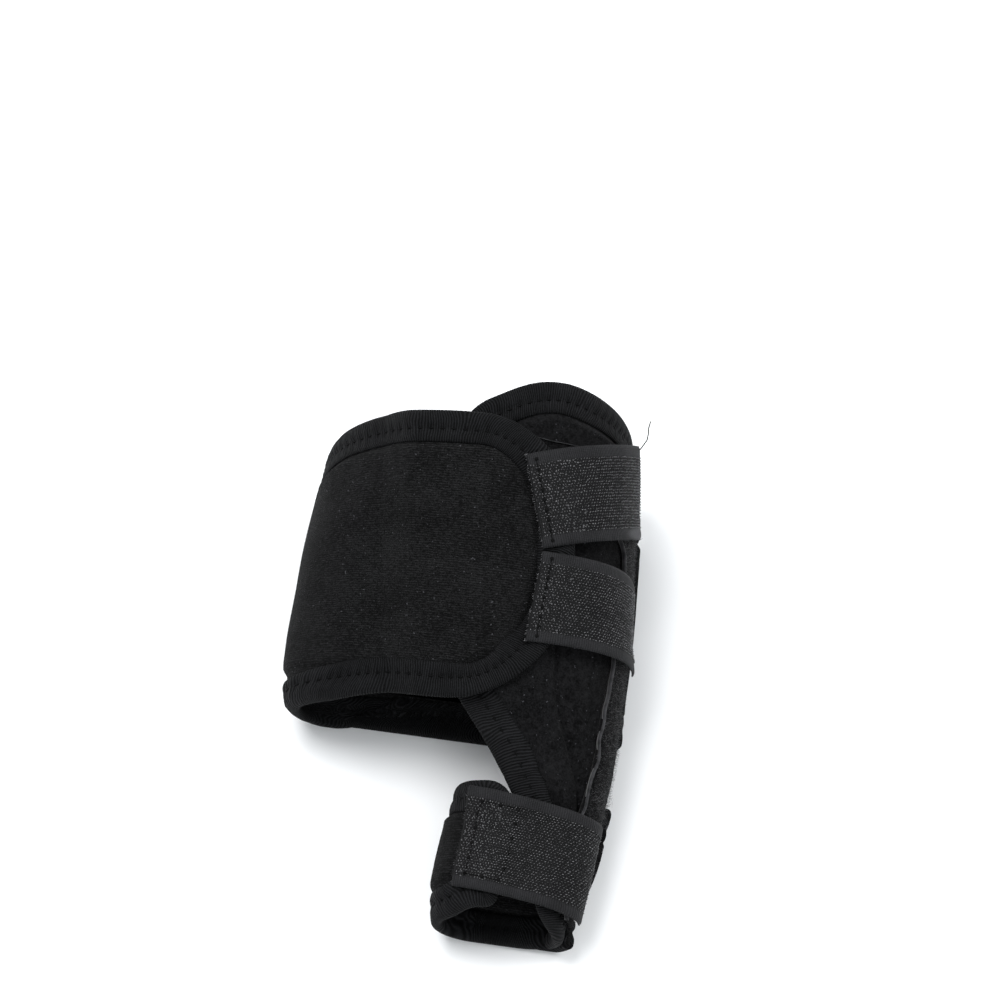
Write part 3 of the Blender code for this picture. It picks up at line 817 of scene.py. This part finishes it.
# The edge tapes: ribbed elastic, folded over the pressed edge of each pad and stitched down along
# its middle, where every stitch pulls a dimple into it.
TAPE_HALF = [
    # inside the edge, off the pad's middle
    (0.00750, 0.00062),
    (0.00748, 0.00105),
    (0.00715, 0.00140),
    (0.00640, 0.00160),
    (0.00540, 0.00164),
    (0.00460, 0.00152),
    (0.00390, 0.00136),
    (0.00320, 0.00148),
    (0.00220, 0.00168),
    (0.00100, 0.00168),
    (0.00000, 0.00152),
    (-0.00065, 0.00115),
    (-0.00102, 0.00062),
]
SEAM_INSIDE = 0.0039
SEAM_HEIGHT = 0.00136
STITCH_LIE = (-0.00036, -0.00020, -0.00022, -0.00020, -0.00036)
TAPE_SECTION = np.array(
    [
        *TAPE_HALF,
        (-0.00110, 0),
        *[(d, -h) for d, h in TAPE_HALF[::-1]],
        (0.00005, -0.00062),
        (-0.00025, 0),
        (0.00005, 0.00062),
        TAPE_HALF[0],
    ]
)
TAPE_BLACK = (0.0050, 0.0051, 0.0056)
RIB_PITCH = 0.00068
THREAD_BLACK = (0.0010, 0.0010, 0.0011)


def ribbed_elastic():
    """Knitted tape with fine ribs across it, pulled a little aslant here and there."""
    finish = Finish("ribbed_elastic", TAPE_BLACK, 0.75, specular=0.08, sheen=0.01)
    _, along, across = finish.cloth()
    wander = finish.noise(210, 2) * 0.0009
    slant = (finish.noise(45, 1) - 0.5) * 1.6
    ribs = (along + wander + across * slant).wave(RIB_PITCH)
    nap = finish.noise(1700, 3, 0.7)
    rubbed = finish.noise(120, 3, 0.6)
    tint = (ribs * 0.55 + nap * 0.7 + rubbed * 0.6).above(0.55, 1.35)
    shade = finish.tinted(tint, 0.25, 2.4)
    return finish.done(shade, (nap, 0.0002, 0.8), (ribs, 0.00024, 1.0))


def sewing_thread():
    """Black twisted thread with a slight gloss."""
    finish = Finish("sewing_thread", THREAD_BLACK, 0.6, specular=0.08)
    grain = finish.noise(2500, 2)
    return finish.done(finish.tinted(grain, 0.5, 2.2), (grain, 0.00008, 1.0))


def swept(name, edge, section, height, pucker=None):
    """A section (inside the edge, height), swept along an edge and closed at both ends."""
    path = cells_of(edge)
    side = inward(path)
    piece, spots = grid_piece(name, len(path) - 1, len(section) - 1)
    distance, h = section[spots[:, 1]].T
    run, over = run_of(edge), run_of(section)
    if pucker is not None:
        h = h * pucker(run[spots[:, 0]], distance)
    places = path[spots[:, 0]] + distance[:, None] * side[spots[:, 0]]
    set_positions(piece, wrap(*places.T, height(places[:, 0]) + h))
    give_cloth_uv(piece, np.column_stack([run[spots[:, 0]], over[spots[:, 1]]]))
    with editing(piece):
        bpy.ops.mesh.remove_doubles(threshold=0.00001)
        bpy.ops.mesh.select_all(action="DESELECT")
        bpy.ops.mesh.select_non_manifold()
        bpy.ops.mesh.fill_holes(sides=0)
    outward(piece)
    return piece


def stitch_pucker(run, distance):
    """Each stitch pulls the tape down at its seam, and the tape swells between the stitches."""
    phase = np.cos(math.tau * run / STITCH_PITCH)
    near = np.exp(-(((distance - SEAM_INSIDE) / 0.0009) ** 2))
    wide = np.exp(-(((distance - SEAM_INSIDE) / 0.0028) ** 2))
    return 1 - 0.34 * near * (0.5 + 0.5 * phase) ** 2 - 0.09 * wide * phase


def rods(name, paths, radii, up, sides=3):
    """Thin rods as one mesh: rods x rings x 3 points, their radii, and a way up for each rod."""
    rings = paths.shape[1]
    deselect_all()
    bpy.ops.mesh.primitive_cylinder_add(vertices=sides, depth=rings - 1)
    rod = bpy.context.object
    with editing(rod):
        for k in range(1, rings - 1):
            bpy.ops.mesh.select_all(action="SELECT")
            bpy.ops.mesh.bisect(plane_co=(0, 0, k - (rings - 1) / 2), plane_no=(0, 0, 1))
    own = positions(rod)
    faces = [np.array(face.vertices) for face in rod.data.polygons]
    bpy.data.objects.remove(rod)
    ring = np.rint(own[:, 2] + (rings - 1) / 2).astype(int)
    turn = np.arctan2(own[:, 1], own[:, 0])[:, None]
    ahead = np.gradient(paths, axis=1)
    side = unit(np.cross(ahead, up[:, None, :]))
    rise = unit(np.cross(side, ahead))
    radii = np.broadcast_to(radii, paths.shape[:2])
    spokes = np.cos(turn) * rise[:, ring] + np.sin(turn) * side[:, ring]
    points = paths[:, ring] + radii[:, ring, None] * spokes
    starts = np.arange(len(paths)) * len(own)
    mesh = bpy.data.meshes.new(name)
    sides_of_all = [(face + start).tolist() for start in starts for face in faces]
    mesh.from_pydata(points.reshape(-1, 3).tolist(), [], sides_of_all)
    piece = bpy.data.objects.new(name, mesh)
    bpy.context.scene.collection.objects.link(piece)
    piece.data.shade_smooth()
    return piece


def edge_stitches(name, edge, bottom):
    """The stitches of a tape's seam: each comes up, lies in its dimple's valley and dips again."""
    path = cells_of(edge)
    places = path + SEAM_INSIDE * inward(path)
    run = run_of(edge)
    starts = (np.arange(1, run[-1] // STITCH_PITCH) - 0.5) * STITCH_PITCH
    stops = starts[:, None] + np.linspace(0.24, 0.76, 5) * STITCH_PITCH
    i, j = (np.interp(stops, run, places[:, axis]) for axis in (0, 1))
    points = wrap(i, j, bottom(i) + PAD / 2 + SEAM_HEIGHT + np.array(STITCH_LIE))
    up = wrap(i[:, 2], j[:, 2], 0.001) - wrap(i[:, 2], j[:, 2], 0)
    return rods(name, points, 0.00022, up, sides=6)


elastic = ribbed_elastic()
thread = sewing_thread()
for node, outline, bottom in (
    ("side_panel_tape", panel_outline, on_form),
    ("instep_band_tape", band_outline, band_bottom),
    ("toe_wrap_tape", wrap_outline, wrap_bottom),
):
    middle = lambda i, bottom=bottom: bottom(i) + PAD / 2
    tape = swept(node + "_elastic", outline, TAPE_SECTION, middle, stitch_pucker)
    dress(tape, elastic, "edge_tape", node)
    dress(edge_stitches(node + "_stitches", outline, bottom), thread, "edge_tape")


# The loop cloth: thin black felt with a looped pile, laid over the panel for the straps to stick
# to. Its cut edge stands up as a thin lip, painted pale as a highlight for the light that it
# catches, and loose fibres stand off its outer side, painted pale grey for the light that shines
# through them.
LOOP_CLOTH = 0.0012
LOOP_SPAN = 0.030
LOOP_FRONT = 0.0060
LOOP_REAR = 0.1250
LOOP_STEP = 0.0030
LOOP_BEND = 0.010
LOOP_CORNER = 0.003
LOOP_FOOT = INNER_WALL + 0.5
LOOP_EDGE = [
    # round, along, as shares
    (0.50, 0.238),
    (0.55, 0.292),
    (0.65, 0.355),
    (0.76, 0.422),
    (0.84, 0.490),
    (0.95, 0.600),
    (1.06, 0.710),
    (1.09, 0.765),
]
LIP_HALF = [(0.00014, -0.0004), (0.00016, 0.0004), (0.0001, 0.0008)]
LIP_SECTION = np.array([*LIP_HALF, *[(-d, h) for d, h in LIP_HALF[::-1]], LIP_HALF[0]])
LIP_STEP = 0.0006
POCKET_MOUTH = [
    # the open edge of the splint's pocket at the rear: round, along, radius
    (0.0002, 0.1286, 0),
    (0.0012, 0.1276, 0.002),
    (0.0035, 0.1262, 0.006),
    (0.0085, 0.1258, 0.01),
    (0.0150, 0.1262, 0),
]
FELT_BLACK = (0.0034, 0.0034, 0.0037)
# painted highlight: the cut edge's pale grey stands for the light that its standing lip catches
EDGE_HIGHLIGHT_GREY = (0.022, 0.022, 0.024)
# painted light: the fibres' pale grey stands for the light that shines through them against the
# bright backdrop
BACKLIT_FIBRE_GREY = (0.055, 0.055, 0.058)
FIBRES = 5200
TUFTS = 70


def looped_felt():
    """Felt with a tangled pile: soft lumps a millimetre apart, paler where fibres lie on top."""
    finish = Finish("looped_felt", FELT_BLACK, 1.0, specular=0.04, sheen=0.05)
    lumps = finish.noise(700, 4, 0.65)
    pile = finish.noise(2400, 3, 0.7)
    shade = finish.tinted((lumps * 0.8 + pile * 0.6).above(0.45, 1.0), 0.35, 2.6)
    return finish.done(shade, (pile, 0.0003, 0.8), (lumps, 0.0006, 0.9))


def plain_yarn(name, colour):
    """Loose fibres and cut cloth edges, uneven in tone; their pale colours are painted light: a
    highlight on an edge, and light shining through a fibre.
    """
    finish = Finish(name, colour, 0.8, specular=0.2, sheen=0.2)
    tone = finish.noise(500, 3, 0.6)
    return finish.done(finish.tinted(tone.above(0.3, 0.7), 0.45, 1.6))


def plain_sheet(name, edge, bottom, thickness):
    """A sheet of one thickness, cut to a closed outline."""
    path = cells_of(edge[:-1])
    deselect_all()
    bpy.ops.mesh.primitive_circle_add(vertices=len(path), fill_type="NGON")
    sheet = bpy.context.object
    sheet.name = sheet.data.name = name
    lay_flat(sheet, path)
    cut_on_net(sheet, path)
    outer = two_faces(sheet)
    i, j = positions(sheet)[:, :2].T
    lengths = flat_lengths(i, j)
    lumps = 0.00010 * waves(lengths, 31, 0.002, 0.006)
    set_positions(sheet, wrap(i, j, bottom(i) + np.where(outer, thickness + lumps, 0)))
    give_cloth_uv(sheet, lengths)
    outward(sheet)
    return sheet


def inside_outline(points, outline):
    """Which points lie inside a closed outline."""
    x, y = points.T
    within = np.zeros(len(points), bool)
    for (ax, ay), (bx, by) in zip(outline, outline[1:]):
        crosses = (ay > y) != (by > y)
        if by != ay:
            within ^= crosses & (x < ax + (y - ay) * (bx - ax) / (by - ay))
    return within


def standing(points, h):
    """Where (s, t) points lie at height h, and the ways round, along and off the form there."""
    cells = cells_of(points)
    i, j = cells.T
    here = wrap(i, j, h)
    off = unit(wrap(i, j, h + 0.001) - here)
    around = wrap(i + 0.05, j, h) - wrap(i - 0.05, j, h)
    around = unit(around - (around * off).sum(1, keepdims=True) * off)
    return here, around, np.cross(off, around), off


def fibres(name, points, lengths, radius, rng):
    """Loose fibres that stand on (s, t) points of the loop cloth and bend over."""
    here, around, along, off = standing(points, loop_top)
    way = rng.uniform(0, math.tau, len(points))[:, None]
    lean = (np.cos(way) * around + np.sin(way) * along) * 0.8
    bend = rng.normal(0, 0.5, (len(points), 3))
    length = lengths[:, None]
    first = here - 0.0002 * off
    second = here + length * 0.5 * (off + 0.5 * lean)
    third = here + length * (0.75 * off + 1.1 * lean + 0.4 * bend)
    paths = np.stack([first, second, (second + third) / 2 + 0.1 * length * off, third], 1)
    return rods(name, paths, np.array([1.0, 0.9, 0.7, 0.25]) * radius, around)


loop_top = PAD + GAP + LOOP_CLOTH
past_flap = FLAP_REACH + GAP + TAPE + 2 * GAP
loop_corners = [(share * LOOP_SPAN, along * PANEL_REAR, LOOP_BEND) for share, along in LOOP_EDGE]
loop_low = [(girth_at(LOOP_FOOT, t), t, 0) for t in np.linspace(LOOP_REAR, LOOP_FRONT, 17)]
loop_upper = [*loop_corners, (past_flap, loop_corners[-1][1] + LOOP_STEP, LOOP_CORNER)]
loop_outline = rounded(
    [
        loop_low[-1],
        (loop_corners[0][0], LOOP_FRONT, LOOP_CORNER),
        *loop_upper,
        (past_flap, LOOP_REAR, LOOP_CORNER),
        *loop_low,
    ],
    EDGE_STEP,
)
loop_bottom = ramp((0, PAD + GAP))
felt = looped_felt()
edge_highlight = plain_yarn("cut_edge_painted_highlight", EDGE_HIGHLIGHT_GREY)
backlit_fibre = plain_yarn("backlit_fibre", BACKLIT_FIBRE_GREY)
loop_panel = plain_sheet("loop_panel_felt", loop_outline, loop_bottom, LOOP_CLOTH)
dress(loop_panel, felt, "loop_cloth", "loop_panel")

rng = np.random.default_rng(5)
upper = rounded([(loop_corners[0][0], LOOP_FRONT, 0), *loop_upper], LIP_STEP)
upper[:, 0] += 0.00045 * waves(upper, 77, 0.006, 0.014)
lip = swept("loop_panel_lip", upper, LIP_SECTION, ramp((0, loop_top)))
dress(lip, edge_highlight, "loop_cloth")
# The pocket's open edge gets the same painted highlight as the felt's lip.
mouth = rounded(POCKET_MOUTH, LIP_STEP)
mouth_lip = swept("pocket_mouth_lip", mouth, LIP_SECTION * 0.75, ramp((0, PAD + 0.0002)))
dress(mouth_lip, edge_highlight, "plush_cloth")
low, high = loop_outline.min(0), loop_outline.max(0)
roots = rng.uniform(low, high, (FIBRES * 3, 2))
roots = roots[inside_outline(roots, loop_outline)][:FIBRES]
pile = fibres("loop_panel_pile", roots, rng.uniform(0.0004, 0.0012, len(roots)), 0.000022, rng)
dress(pile, backlit_fibre, "loop_cloth")
roots = np.column_stack([rng.uniform(0.017, 0.0235, TUFTS), rng.normal(0.0385, 0.0022, TUFTS)])
tufts = fibres("loop_panel_tufts", roots, rng.uniform(0.0012, 0.0030, TUFTS), 0.000025, rng)
dress(tufts, backlit_fibre, "loop_cloth")


# The straps: charcoal nylon hook tape, woven plain along both sides, with rows of moulded hooks
# between. Each is sewn down at one end, pulled across and pressed on the loop cloth.
STRAP_WIDTH = 0.0228
STRAP_JOINT = 0.0982
STRAP_SEAT = 0.0065
STRAP_CUT = 0.18
REAR_STRAP_LENGTH = 0.040
REAR_STRAP_TURN = math.radians(21)
FRONT_STRAP_LENGTH = 0.0335
FRONT_STRAP_TURN = math.radians(1.5)
TOE_STRAP_WIDTH = 0.0273
TOE_STRAP_LENGTH = 0.0325
TOE_STRAP_TURN = math.radians(-6.3)
TOE_STRAP_CUT = -0.10
TOE_STRAP_SEAT = 0.0118
TOE_STRAP_MIDDLE = 0.0236
FLAP_DROP = 3
LOOP_CLIMB = 2
STRAP_BASE = 0.0008  # woven ground under the hooks
SELVAGE = 0.0025
HOOK_PITCH = 0.00070
HOOK_RISE = 0.00034
HOOK_HALF = 0.00019
CHARCOAL = (0.0115, 0.0115, 0.0125)
# painted shade: how far the weave among the hooks is darkened toward near-black, for the shade
# between the hooks
PAINTED_HOOK_SHADE = 0.45
HOOK_GREY = (0.064, 0.064, 0.067)
WEAVE_PITCH = 0.00050
WARP_PITCH = 0.0004
RUBBED_GREY = (0.075, 0.075, 0.08)
RUBBED_PLACE = (0.0300, -0.0100, 0.0080, 0.0016)


def woven_ground(name, width, worn=None):
    """Charcoal weave with painted shade that darkens it between the hooks; worn is a rubbed place
    (u, v) with its two sizes.
    """
    finish = Finish(name, CHARCOAL, 0.7, specular=0.12, sheen=0.02)
    _, along, across = finish.cloth()
    wander = finish.noise(300, 2) * 0.0005
    ribs = (along + wander).wave(WEAVE_PITCH)
    threads = (across + wander).wave(WARP_PITCH)
    grain = finish.noise(2200, 3, 0.6)
    rubbed = finish.noise(110, 3, 0.6)
    tint = (ribs * 0.4 + threads * 0.2 + grain * 0.7 + rubbed * 0.7).above(0.6, 1.4)
    edge = across.math("ABSOLUTE").above(width / 2 - SELVAGE - 0.0006, width / 2 - SELVAGE)
    # Painted shade between the hooks: the hook field is mixed toward near-black, and the plain
    # selvages keep their tone.
    painted_field_shade = tuple(c * 0.05 for c in CHARCOAL)
    shade = finish.mix((1 - edge) * (1 - PAINTED_HOOK_SHADE), finish.tinted(tint, 0.50, 1.8), painted_field_shade)
    if worn is not None:
        far = ((along - worn[0]) * (1 / worn[2])).math("POWER", 2.0)
        far = far + ((across - worn[1]) * (1 / worn[3])).math("POWER", 2.0)
        shade = finish.mix((1 - far.above(0.4, 1.2)) * rubbed, shade, RUBBED_GREY)
    return finish.done(shade, (grain, 0.0002, 0.6), (ribs * (threads * 0.4 + 0.6), 0.00012, 0.9))


def hook_nylon():
    """Moulded nylon monofilament: smoother than the ground, with small glints."""
    finish = Finish("hook_nylon", HOOK_GREY, 0.32, specular=0.5)
    tone = finish.noise(900, 2, 0.6)
    return finish.done(finish.tinted(tone.above(0.38, 0.64), 0.25, 2.2))


class Strap:
    """A strap's own lengths (u on from its sewn end, v across to its rear) and where they lie."""

    def __init__(self, start, width, length, turn, cut, bottom, lift):
        self.on = np.array([math.cos(turn), math.sin(turn)])
        self.side = np.array([-math.sin(turn), math.cos(turn)])
        self.start, self.width, self.length, self.cut = np.array(start), width, length, cut
        self.bottom, self.lift = bottom, lift

    def flat(self, u, v):
        slip = self.cut * v * (1 - u / self.length)
        return self.start + (u + slip)[:, None] * self.on + v[:, None] * self.side

    def at(self, u, v, h):
        i, j = cells_of(self.flat(u, v)).T
        return wrap(i, j, self.bottom(i) + self.lift(u, v) + h)

    def frame(self, u, v, h):
        """Place, way on, way across and way off at each (u, v)."""
        small = 0.0003
        here = self.at(u, v, h)
        on = unit(self.at(u + small, v, h) - self.at(u - small, v, h))
        side = self.at(u, v + small, h) - self.at(u, v - small, h)
        off = unit(np.cross(on, side))
        return here, on, np.cross(off, on), off

    def ground(self, name, seed, step=0.0007):
        """The woven tape itself, with rough cut ends."""
        columns, rows = round(self.length / step), round(self.width / step)
        piece, spots = grid_piece(name, columns, rows)
        rough = np.random.default_rng(seed).normal(0, 0.00012, (2, rows + 1))
        u = spots[:, 0] / columns * self.length
        v = (spots[:, 1] / rows - 0.5) * self.width
        for end, offsets in zip((0, columns), rough):
            u += np.where(spots[:, 0] == end, offsets[spots[:, 1]], 0)
        lay_flat(piece, np.column_stack([u, v]))
        outer = two_faces(piece)
        u, v = positions(piece)[:, :2].T
        thin = 1 - 0.45 * smoothstep(1 - (self.width / 2 - np.abs(v)) / 0.0009)
        set_positions(piece, self.at(u, v, np.where(outer, STRAP_BASE * thin, 0)))
        give_cloth_uv(piece, np.column_stack([u, v]))
        outward(piece)
        return piece

    def hooks(self, name, seed, crushed):
        """Rows of small arches, set corner to corner, and flattened up to the length crushed."""
        rng = np.random.default_rng(seed)
        reach = self.width / 2 - SELVAGE
        rows = np.arange(-int(reach / HOOK_PITCH), int(reach / HOOK_PITCH) + 1)
        columns = np.arange(1, int(self.length / HOOK_PITCH))
        row, column = (a.ravel() for a in np.meshgrid(rows, columns))
        u = (column + 0.5 * (row % 2)) * HOOK_PITCH + rng.normal(0, 0.00006, len(row))
        v = row * HOOK_PITCH + rng.normal(0, 0.00005, len(row))
        flat = smoothstep((crushed - u) / 0.006)
        here, on, side, off = self.frame(u, v, STRAP_BASE - 0.00006)
        way = rng.normal(0.6, 0.25 + 1.1 * flat)[:, None]
        across = np.cos(way) * on + np.sin(way) * side
        lean = np.cross(across, off) * rng.normal(0, 0.2 + 0.9 * flat)[:, None]
        tall = (HOOK_RISE * (1 - 0.45 * flat) * rng.uniform(0.8, 1.15, len(u)))[:, None]
        turn = np.radians([200, 140, 90, 40, -20])
        up = tall * (off + lean)
        bends = [here + HOOK_HALF * math.cos(a) * across + math.sin(a) * up for a in turn]
        return rods(name, np.stack(bends, 1), 0.00012, off)

    def seam(self, name, corners, pitch):
        """Stitches along (u, v) corners: a thread from hole to hole, and at each hole a dark disc
        of painted shade that stands for the hole.
        """
        corners = np.array(corners)
        run = run_of(corners)
        count = max(1, round(run[-1] / pitch))
        stops = np.linspace(0, run[-1], count + 1)
        u, v = (np.interp(stops, run, corners[:, axis]) for axis in (0, 1))
        shares = np.array([0.04, 0.25, 0.5, 0.75, 0.96])
        us, vs = ((a[:-1, None] + (a[1:] - a[:-1])[:, None] * shares).ravel() for a in (u, v))
        lie = np.tile([-0.0003, 0.00004, 0.00008, 0.00004, -0.0003], len(u) - 1)
        points = self.at(us, vs, STRAP_BASE + lie).reshape(-1, 5, 3)
        here, on, side, off = self.frame(u, v, STRAP_BASE)
        threads = rods(name, points, 0.00012, off[:-1], sides=5)
        # Painted shade: dark discs in the thread's black stand in for the stitch holes, which show
        # only as shade.
        hole_shades = np.stack([here + h * off for h in (-0.0002, 0.00024, 0.00034)], 1)
        radii = np.array([0.00050, 0.00050, 0.00034])
        return join(threads, rods(name + "_holes", hole_shades, radii, on, sides=8))

    def frayed(self, name, seed, count):
        """Short ends of yarn that stick out of both cuts."""
        rng = np.random.default_rng(seed)
        v = rng.uniform(-0.5, 0.5, count) * self.width
        far = rng.random(count) < 0.5
        u = np.where(far, self.length, 0.0)
        here, on, side, off = self.frame(np.where(far, u - 0.0004, u + 0.0004), v, 0.0004)
        out = on * np.where(far, 1, -1)[:, None]
        length = rng.uniform(0.0002, 0.0008, count)[:, None]
        bend = side * rng.normal(0, 0.6, (count, 1)) + off * rng.normal(0.2, 0.4, (count, 1))
        start = here + 0.0003 * out
        paths = [here, start + 0.5 * length * (out + 0.4 * bend), start + length * (out + bend)]
        return rods(name, np.stack(paths, 1), np.array([0.00008, 0.00008, 0.00004]), off)


def front_lift(u, v):
    """The front strap's front edge stands off where it turns down the side."""
    return 0.0013 * smoothstep((u - 0.013) / 0.016) * smoothstep((-0.0035 - v) / 0.008)


def rear_lift(u, v):
    """The rear strap's front edge curls up a little at its far half."""
    return 0.0007 * smoothstep((u - 0.016) / 0.006) * smoothstep((-0.0070 - v) / 0.003)


def toe_lift(u, v):
    """The toe strap's far end stands off the loop cloth."""
    return 0.0011 * smoothstep((u - 0.024) / 0.008) * smoothstep((0.010 - v) / 0.016)


on_flap = 2 * (PAD + GAP)
on_loops = PAD + LOOP_CLOTH + 2 * GAP
nose = FLAP_REACH + GAP + TAPE + GAP
off_flap = math.ceil(max(cell_of(nose, t)[0] for t in CELL_LINES[CELL_LINES > BAND_FRONT]))
strap_bottom = ramp((off_flap, on_flap), (off_flap + FLAP_DROP, on_loops))
toe_lines = CELL_LINES[: ALONG_CELLS[0] + 1]
loop_line = math.floor(min(cell_of(loop_corners[0][0], t)[0] for t in toe_lines))
toe_bottom = ramp((loop_line - LOOP_CLIMB, PAD + GAP), (loop_line, on_loops))
joint = np.array([STRAP_SEAT, STRAP_JOINT])


def joint_strap(way, length, turn, lift):
    """A strap with a corner of its sewn end at the joint, on the rear side of it or the front."""
    strap = Strap(joint, STRAP_WIDTH, length, turn, STRAP_CUT, strap_bottom, lift)
    corner = (strap.side + strap.on * STRAP_CUT) * STRAP_WIDTH / 2
    strap.start = joint + way * (np.array([0, GAP]) + corner)
    return strap


rear_strap = joint_strap(1, REAR_STRAP_LENGTH, REAR_STRAP_TURN, rear_lift)
front_strap = joint_strap(-1, FRONT_STRAP_LENGTH, FRONT_STRAP_TURN, front_lift)
toe_sizes = (TOE_STRAP_WIDTH, TOE_STRAP_LENGTH, TOE_STRAP_TURN, TOE_STRAP_CUT)
toe_strap = Strap((-TOE_STRAP_SEAT, TOE_STRAP_MIDDLE), *toe_sizes, toe_bottom, toe_lift)
end_seam = [(0.0022, -0.0098), (0.0022, 0.0098)]
box_corners = [(0.0030, -0.0100), (0.0030, 0.0100), (0.0120, 0.0100), (0.0120, -0.0100)]
box_seam = [*box_corners, box_corners[0]]
plain_weave = woven_ground("woven_ground", STRAP_WIDTH)
wide_weave = woven_ground("woven_ground_wide", TOE_STRAP_WIDTH)
rubbed_weave = woven_ground("woven_ground_rubbed", STRAP_WIDTH, RUBBED_PLACE)
nylon = hook_nylon()
for number, (node, strap, weave, seam, pitch, crushed) in enumerate(
    (
        ("rear_strap", rear_strap, rubbed_weave, end_seam, 0.0026, 0.014),
        ("front_strap", front_strap, plain_weave, end_seam, 0.0026, 0.010),
        ("toe_strap", toe_strap, wide_weave, box_seam, 0.0042, 0.012),
    )
):
    dress(strap.ground(node + "_weave", 40 + number), weave, "hook_tape", node)
    dress(strap.hooks(node + "_hooks", 50 + number, crushed), nylon, "hook_tape")
    dress(strap.seam(node + "_stitches", seam, pitch), thread, "hook_tape")
    dress(strap.frayed(node + "_fray", 60 + number, 170), nylon, "hook_tape")


# The loose thread: the black sewing thread was left long at the rear strap's far corner, where it
# comes up out of the weave and hangs in a slack curl.
LOOSE_THREAD = [
    # on, across and off the strap, in mm from its corner
    (0, -1, 0),
    (0.6, 0.4, 0.9),
    (1.4, 1.8, 1.7),
    (1.6, 3.4, 2.0),
    (1.0, 5.2, 2.2),
    (0.5, 7.0, 2.8),
]
far_corner = np.array([REAR_STRAP_LENGTH]), np.array([STRAP_WIDTH / 2])
corner, on, side, off = (part[0] for part in rear_strap.frame(*far_corner, STRAP_BASE))
loose_path = np.array([corner + 0.001 * (a * on + b * side + c * off) for a, b, c in LOOSE_THREAD])
loose_end = rods("loose_thread", loose_path[None], 0.00017, off[None], sides=5)
dress(loose_end, thread, "hook_tape")
